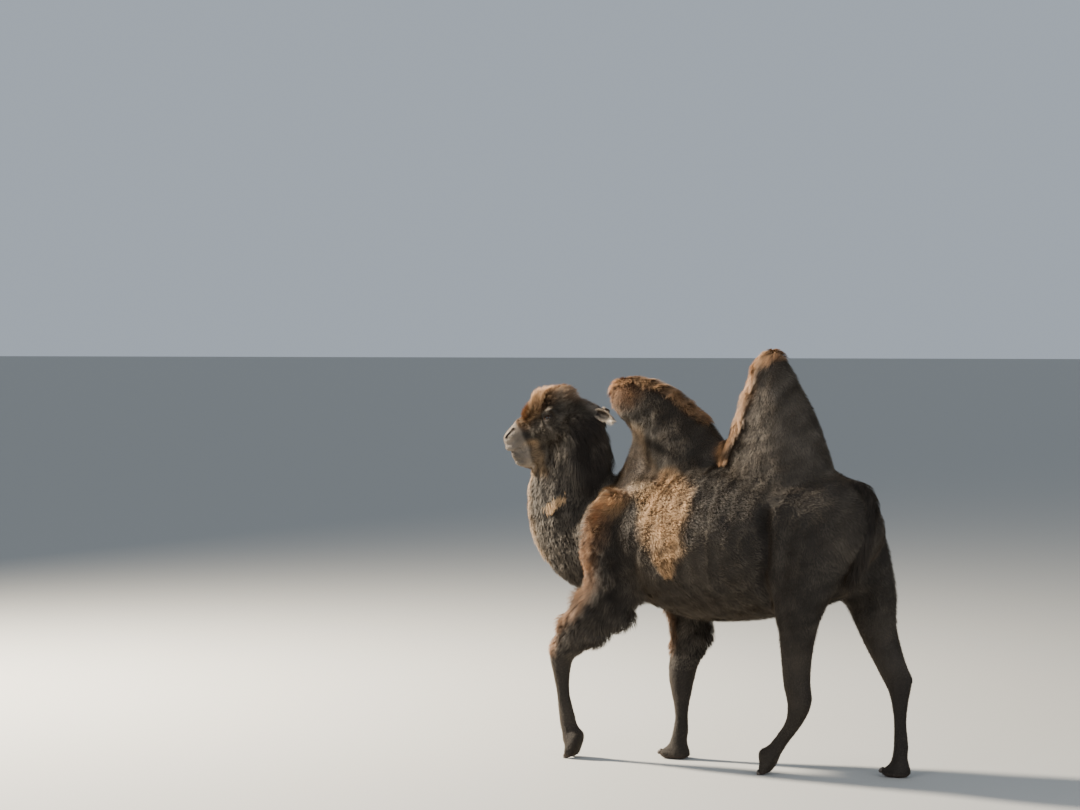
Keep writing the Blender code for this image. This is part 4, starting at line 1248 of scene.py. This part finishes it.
def rooted(region, count, weight, length=None, depth=None):
    """Scatters roots over a region, more where the weight is higher, with what the skin knows there.

    length and depth stand in for the skin's own where they are given. count is for the full coat."""
    count = int(count * DENSITY)
    corners, unwrap = region
    a, b, c = (surface["places"][corners[:, i]] for i in range(3))
    area = 0.5 * np.linalg.norm(np.cross(b - a, c - a), axis=1)
    share = area * weight[corners].mean(axis=1)
    picked = rng.choice(len(corners), size=count, p=share / share.sum())
    u, v = rng.uniform(size=(2, count))
    over = u + v > 1
    u[over], v[over] = 1 - u[over], 1 - v[over]
    parts = np.stack([1 - u - v, u, v], axis=1)

    def at_root(values):
        return np.einsum("ij,ij...->i...", parts, values[corners[picked]])

    roots = {key: at_root(values) for key, values in surface.items()}
    roots["normals"] = unit(roots["normals"])
    roots["unwrap"] = np.einsum("ij,ijk->ik", parts, unwrap[picked])
    roots["marks"] = {key: at_root(values) for key, values in skin_marks.items()}
    if length:
        roots["length"], roots["depth"] = np.full(count, length), np.full(count, depth)
    return roots


def clumped(points, spacing):
    """The nearest of a thinned set of the points, for each of them."""
    heads = points[rng.permutation(len(points))[:max(2, len(points) // spacing)]]
    tree = tree_of(heads)
    return np.array([tree.find(p)[1] for p in points]), len(heads)


# %% Paths of locks
ROOT_DEPTH = 0.004                  # how far under the skin a lock starts


def lock_paths(roots, rows, rise, sag, wander, gather, spacing, stretch, ruffle):
    """Where each lock runs, as one row of points for each bend, and the way across its blade."""
    place, normal = roots["places"], roots["normals"]
    count = len(place)
    flow = unit(roots["flow"] - normal * (roots["flow"] * normal).sum(axis=1, keepdims=True))
    across = np.cross(normal, flow)
    sway = (0.8 * ripple(place, 0.16) + 0.6 * ripple(place + 3.1, 0.055)) * wander
    sway = sway + rng.normal(0, 0.5 * wander, count)
    lie = unit(flow * np.cos(sway)[:, None] + across * np.sin(sway)[:, None])
    long = roots["length"] * stretch * rng.uniform(0.72, 1.18, count) * (1 + 0.16 * ripple(place + 7.7, 0.11))
    high = roots["depth"] * rise * (1 + ruffle * ripple(place + 5.3, 0.075) + rng.normal(0, 0.5 * ruffle, count))
    high = np.clip(high, 0.15 * roots["depth"], 0.92 * long)
    run = np.sqrt(np.maximum(long ** 2 - high ** 2, (0.25 * long) ** 2))
    tip = place + normal * high[:, None] + lie * run[:, None]
    tip[:, 2] -= sag * long
    number, clumps = clumped(place, spacing)
    total = np.stack([np.bincount(number, column, clumps) for column in tip.T], axis=1)
    mean_tip = total / np.maximum(np.bincount(number, minlength=clumps), 1)[:, None]
    tip = mix(tip, mean_tip[number], gather * rng.uniform(0.4, 1.0, count)[:, None])
    start = place - normal * ROOT_DEPTH
    knee = place + normal * (high * 0.62)[:, None] + lie * (run * 0.30)[:, None]
    knee[:, 2] -= 0.15 * sag * long
    line = [(1 - s) ** 2 * start + 2 * s * (1 - s) * knee + s ** 2 * tip for s in np.linspace(0, 1, rows + 1)]
    return line, unit(np.cross(tip - place, normal) + 1e-6)


# %% Grow locks
TUFT_PATCH = 0.003                  # width of a lock's place on the unwrap
LOWEST_HAIR = 0.0008                # no hair goes into the ground
RIDGE_SHARE = 0.55                  # a blade's ridge against its half width
LOCK_WIDTHS = {1: (1.0,), 2: (0.8, 1.0), 3: (0.75, 1.0, 0.72), 4: (0.7, 1.0, 0.9, 0.55)}     # at each bend


def triangles_of(points, faces, name):
    """Mesh data from arrays of points and of triangles."""
    data = bpy.data.meshes.new(name)
    data.vertices.add(len(points))
    data.vertices.foreach_set("co", points.astype(np.float32).ravel())
    data.loops.add(faces.size)
    data.loops.foreach_set("vertex_index", faces.astype(np.int32).ravel())
    data.polygons.add(len(faces))
    data.polygons.foreach_set("loop_start", np.arange(0, faces.size, 3, dtype=np.int32))
    data.update(calc_edges=True)
    return data


def locks(name, roots, width, rows=2, rise=1.0, sag=0.0, wander=0.30, gather=0.45, spacing=14,
          stretch=1.0, ruffle=0.22, tint={}):
    """Builds one piece of coat. rows is how many times a lock bends, tint adds to its markings."""
    place, normal = roots["places"], roots["normals"]
    count = len(place)
    line, side = lock_paths(roots, rows, rise, sag, wander, gather, spacing, stretch, ruffle)
    half = width * rng.uniform(0.7, 1.3, count)
    points, spots, along, faces = [], [], [], []
    for k, share in enumerate(LOCK_WIDTHS[rows]):
        edge = side * (half * share)[:, None]
        ridge = normal * (half * share * RIDGE_SHARE)[:, None]
        points += [line[k] - edge, line[k] + ridge, line[k] + edge]
        spots += [(across, 2 * k / rows - 1) for across in (-1, 0, 1)]
        along += [k / rows] * 3
        a = 3 * k
        if k < rows - 1:
            faces += [(a, a + 1, a + 4), (a, a + 4, a + 3), (a + 1, a + 2, a + 5), (a + 1, a + 5, a + 4)]
        else:
            faces += [(a, a + 1, a + 3), (a + 1, a + 2, a + 3)]
    points.append(line[rows])
    spots.append((0, 1))
    along.append(1.0)
    per = len(points)
    points = np.stack(points, axis=1).reshape(-1, 3)
    points[:, 2] = np.maximum(points[:, 2], LOWEST_HAIR)
    corners = (np.array(faces)[None] + per * np.arange(count)[:, None, None]).reshape(-1, 3)
    data = triangles_of(points, corners, name)
    spot_of = np.array(spots)[np.array(faces)]
    unwrap = roots["unwrap"][:, None, None, :] + 0.5 * TUFT_PATCH * spot_of[None]
    layer = data.uv_layers.new(name="OFBake")
    layer.data.foreach_set("uv", np.clip(unwrap, 0, 1).astype(np.float32).ravel())
    strength = 0.35 + 0.65 * fade(roots["length"], 0.006, 0.030)
    tone = np.clip(0.5 + strength * (0.18 * ripple(place, 0.09) + rng.normal(0, 0.17, count)), 0, 1)
    paint(data, {key: np.repeat(np.clip(numbers + tint.get(key, 0.0), 0, 1), per)
                 for key, numbers in roots["marks"].items()})
    paint(data, {"shade": np.repeat(tone, per), "along": np.tile(along, count)})
    placed(name, data, hair_finish)
    print(f"{name}: {count} locks, {len(corners)} triangles")


# %% Regions of the coat
x, y, z = surface["places"].T
head_side = to_head(surface["places"])
HALFWAY = 0.02                                  # where the trunk's coat is cut in two
HIGH = 0.80                                     # where a leg's coat becomes the body's
OVERLAP = 0.02
FOREARM_END = np.where(y > 0, 0.58, 0.50)       # the knee of the left foreleg is the higher one
trunk, foreleg, hindleg = (kinds == kind for kind in ("trunk", "foreleg", "hindleg"))
regions = {
    "coat_head": np.isin(kinds, ["head", "jaw", "crown", "lid", "ear"]),
    "coat_neck": np.isin(kinds, ["neck", "mane", "throat"]),
    "coat_shoulders": (trunk & (x > HALFWAY)) | (foreleg & (z > HIGH)),
    "coat_haunches": (trunk & (x <= HALFWAY)) | (hindleg & (z > HIGH)),
    "coat_front_hump": kinds == "hump_front",
    "coat_rear_hump": kinds == "hump_rear",
    "coat_forearms": foreleg & (z <= HIGH + OVERLAP) & (z > FOREARM_END),
    "coat_shanks": foreleg & (z <= FOREARM_END),
    "coat_hindlegs": hindleg & (z <= HIGH + OVERLAP),
    "coat_tail": kinds == "tail"}
unwrapped = {name: region_of(chosen, name) for name, chosen in regions.items()}
print({name: len(region[0]) for name, region in unwrapped.items()})
surface["normals"] = unit(surface["normals"])

# %% Where hair is thick, thin or missing
EYE_BARE = (0.0225, 0.0165)         # half length and half height of the oval that hair leaves free
even = np.ones(len(kinds))
eye_clear = even.copy()
for side in SIDES.values():
    middle, outward = eye_out[side]
    ahead, up, opening = lid_shape[side]
    away = surface["places"] - middle
    oval = np.hypot(away @ ahead / EYE_BARE[0], away @ up / EYE_BARE[1])
    eye_clear *= np.where(np.linalg.norm(away, axis=1) < 0.05, fade(oval, 1.0, 1.12), 1.0)
naked = 1 - fade(skin_marks["bare"], 0.10, 0.60)
in_wool = fade(behind_edge(head_side), -0.004, 0.006)
eye_near = np.min([np.linalg.norm(surface["places"] - middle, axis=1) for middle, _ in eye_out.values()], axis=0)
muzzle_fuzz = (1 + 1.2 * fade(head_side[:, 0], 0.25, 0.36)) * mix(0.8, 1.0, in_wool) * naked * eye_clear
muzzle_fuzz *= 1 + 3.0 * (1 - fade(eye_near, 0.030, 0.055))
ear_hair = kinds == "ear"
head_wool = in_wool * eye_clear * (surface["length"] > 0.018) * ~ear_hair
wedge_wool = strongest(*(patch(surface["places"], path, soft=0.7)
                         for path in (WEDGE, mirrored(WEDGE), WEDGE_TOP, mirrored(WEDGE_TOP))))
print("share of the skin with head wool:", round(float(head_wool.mean()), 3))

# %% Short coat
# For each region: locks in the full coat, where they are dense, half width of a lock, and its habit.
COAT = {"coat_shoulders": (78000, even, 0.0013, dict(rows=1, gather=0.25)),
        "coat_haunches": (82000, even, 0.0013, dict(rows=1, gather=0.25)),
        "coat_front_hump": (56000, even, 0.0012, dict(rows=1, gather=0.25)),
        "coat_rear_hump": (62000, even, 0.0012, dict(rows=1, gather=0.25)),
        "coat_neck": (30000, even, 0.0015, dict(rows=2, sag=0.10, gather=0.40)),
        "coat_head": (60000, muzzle_fuzz, 0.0008, dict(rows=1, gather=0.2, spacing=10)),
        "coat_forearms": (13000, naked, 0.0017, dict(rows=2, sag=0.08, wander=0.45)),
        "coat_shanks": (26000, naked, 0.0010, dict(rows=1)),
        "coat_hindlegs": (42000, (1 + 0.6 * (z < 0.55)) * naked, 0.0011, dict(rows=1)),
        "coat_tail": (4000, even, 0.0016, dict(rows=3, sag=0.30, tint={"dark": 0.85}))}
for name, (count, weight, width, how) in COAT.items():
    locks(name, rooted(unwrapped[name], count, weight), width, **how)
locks("head_wool", rooted(unwrapped["coat_head"], 9000, head_wool), 0.0014, rows=3, gather=0.5, spacing=16,
      wander=0.4)
locks("side_wool", rooted(unwrapped["coat_shoulders"], 10500, wedge_wool), 0.0013, rise=1.1, stretch=1.15,
      gather=0.42, wander=0.40)

# %% [markdown]
# Long hair comes last. Behind the cheeks and down the nape, a mane of dark strands hangs a hand's length. The
# crest of the front hump, the front edge of the rear hump and the edge of the shoulder carry a rough fringe.
# Each is a piece of its own, rooted only near its line.

# %% Mane
CORE = 0.4                          # the share of a line's radius that is full


def near_lines(radius, *paths):
    """1 for skin points near any of the lines, fading to 0 at the radius."""
    return np.max([1 - fade(gap_to(surface["places"], path), CORE * radius, radius) for path in paths], axis=0)


joined_region = region_of(regions["coat_head"] | regions["coat_neck"], "joined_region")
nape = np.maximum(near_lines(0.13, *([face(0.02, side * 0.10, 0.02), face(0.00, side * 0.11, -0.08),
                                      face(0.02, side * 0.10, -0.20)] for side in SIDES.values())),
                  near_lines(0.10, [face(-0.06, 0, 0.03), (0.77, 0.035, 1.70), (0.75, 0.035, 1.58)]))
nape *= 1 - fade(head_side[:, 2], 0.03, 0.08)
roots = rooted(joined_region, 5400, nape * (surface["depth"] > 0.008))
reach = 1 - fade(to_head(roots["places"])[:, 2], -0.10, 0.05)
roots["length"] = mix(0.060, 0.165, reach)
roots["depth"] = mix(0.024, 0.036, reach)
roots["flow"] = mix(unit(roots["flow"]), np.array((-0.15, 0.0, -1.0)), mix(0.35, 0.9, reach)[:, None])
locks("mane", roots, 0.0016, rows=4, sag=0.10, gather=0.60, spacing=18, wander=0.16,
      tint={"dark": 0.40, "pale": -0.6})

# %% Fringes and tufts
roots = rooted(unwrapped["coat_front_hump"], 4200, near_lines(0.060, FRONT_CREST), 0.046, 0.026)
locks("front_crest", roots, 0.0015, rows=3, sag=0.12, gather=0.55, wander=0.5, tint={"gold": 0.30})
roots = rooted(unwrapped["coat_rear_hump"], 5200, near_lines(0.075, REAR_FRINGE), 0.050, 0.030)
low = 1 - fade(roots["places"][:, 2], 1.72, 1.92)
roots["length"] = mix(0.050, 0.078, low)
roots["depth"] = mix(0.030, 0.040, low)
locks("rear_fringe", roots, 0.0014, rows=3, sag=0.30, gather=0.72, spacing=20, wander=0.60)
roots = rooted(unwrapped["coat_shoulders"], 4500, near_lines(0.055, CAPE, mirrored(CAPE)), 0.048, 0.034)
roots["flow"] = unit(roots["flow"] + (0.9, 0, -0.2))
locks("cape_fringe", roots, 0.0015, rows=2, gather=0.55, wander=0.5)
crown_top = near_lines(0.075, [face(0.30, 0, 0.18), face(0.22, 0, 0.24), face(0.14, 0, 0.22)])
roots = rooted(unwrapped["coat_head"], 2200, crown_top, 0.062, 0.044)
locks("crown_tuft", roots, 0.0014, rows=3, gather=0.65, spacing=22, wander=0.5, tint={"gold": 0.35})
tips = near_lines(0.040, [face(-0.12, 0.15, 0.01), face(-0.15, 0.155, 0.0)],
                  [face(0.0, -0.195, 0.052), face(0.01, -0.220, 0.048)])
roots = rooted(unwrapped["coat_head"], 420, tips * ear_hair, 0.050, 0.010)
on_left = (to_head(roots["places"])[:, 1] > 0)[:, None]
roots["flow"] = np.where(on_left, (-0.75, 0.0, -0.66), (0.20, -0.72, -0.66)) @ HEAD_TURN.T
locks("ear_tufts", roots, 0.0012, rows=3, sag=0.1, gather=0.5, wander=0.25, tint={"pale": 0.6, "dark": -1.0})
burr = near_lines(0.026, [(1.06, 0.15, 1.370), (1.01, 0.17, 1.395), (0.97, 0.16, 1.420)])
roots = rooted(unwrapped["coat_neck"], 220, burr, 0.050, 0.030)
locks("burr", roots, 0.0016, rows=3, sag=0.30, gather=0.80, spacing=18, wander=1.2, tint={"gold": 0.70})

# %% [markdown]
# ## Lashes
#
# Long double lashes keep sand out of a camel's eye. They are the same blades as the coat, set along the rim
# of each lid and curved up and out.

# %% Lashes
LASH_SPAN = 0.0175                  # no lashes in the corners beyond it
LASH_GAP = 0.001
LASH_LIFT = 0.0035                  # from the eyeball to the rim that carries them
UPPER_LASH, LOWER_LASH = 0.023, 0.011
rims = []
for side in SIDES.values():
    middle, outward = eye_out[side]
    ahead, up, opening = lid_shape[side]
    for fore, rise in opening[np.abs(opening[:, 0]) <= LASH_SPAN]:
        lift = math.sqrt((EYE_RADIUS + LASH_LIFT) ** 2 - fore ** 2 - rise ** 2)
        upper = rise > 0
        for shift in (-LASH_GAP, 0.0, LASH_GAP):
            place = middle + (fore + shift) * ahead + rise * up + lift * outward
            lean = up * (1.0 if upper else -1.0) + ahead * fore * 35
            rims.append((place, unit(outward + 0.25 * lean), lean, UPPER_LASH if upper else LOWER_LASH))
places, facings, leans, lengths = (np.array(column) for column in zip(*rims))
count = len(lengths)
grid = np.stack([np.arange(count) % 15, np.arange(count) // 15], axis=1) / 15 + 0.03
roots = {"places": places, "normals": facings, "flow": leans, "length": lengths, "depth": 0.75 * lengths,
         "unwrap": grid, "marks": {key: np.full(count, 0.6 * (key == "dark")) for key in skin_marks}}
locks("lashes", roots, 0.0007, rows=3, ruffle=0.05, wander=0.10, gather=0.30, spacing=3)

# %% [markdown]
# ## Nails
#
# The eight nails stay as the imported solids. Horn grows in rings and wears at the tip, so their finish is a
# dark grey with fine bands and a little gloss.

# %% Nail finish
horn = Finish("nail_horn", Roughness=0.45)
bands = horn.node("ShaderNodeTexWave", {"wave_type": "BANDS"},
                  {"Vector": horn.places(), "Scale": 90.0, "Distortion": 3.0}, "Fac")
horn.wear("Base Color", horn.blend(bands * 0.6 + horn.grain(160.0) * 0.4, rgb(46, 40, 37), rgb(98, 86, 76)))
horn.bump(bands, 0.0008, 0.4)
for name, node in frame["nodes"].items():
    if name.startswith("nail_"):
        node.data.materials.clear()
        node.data.materials.append(horn.material)
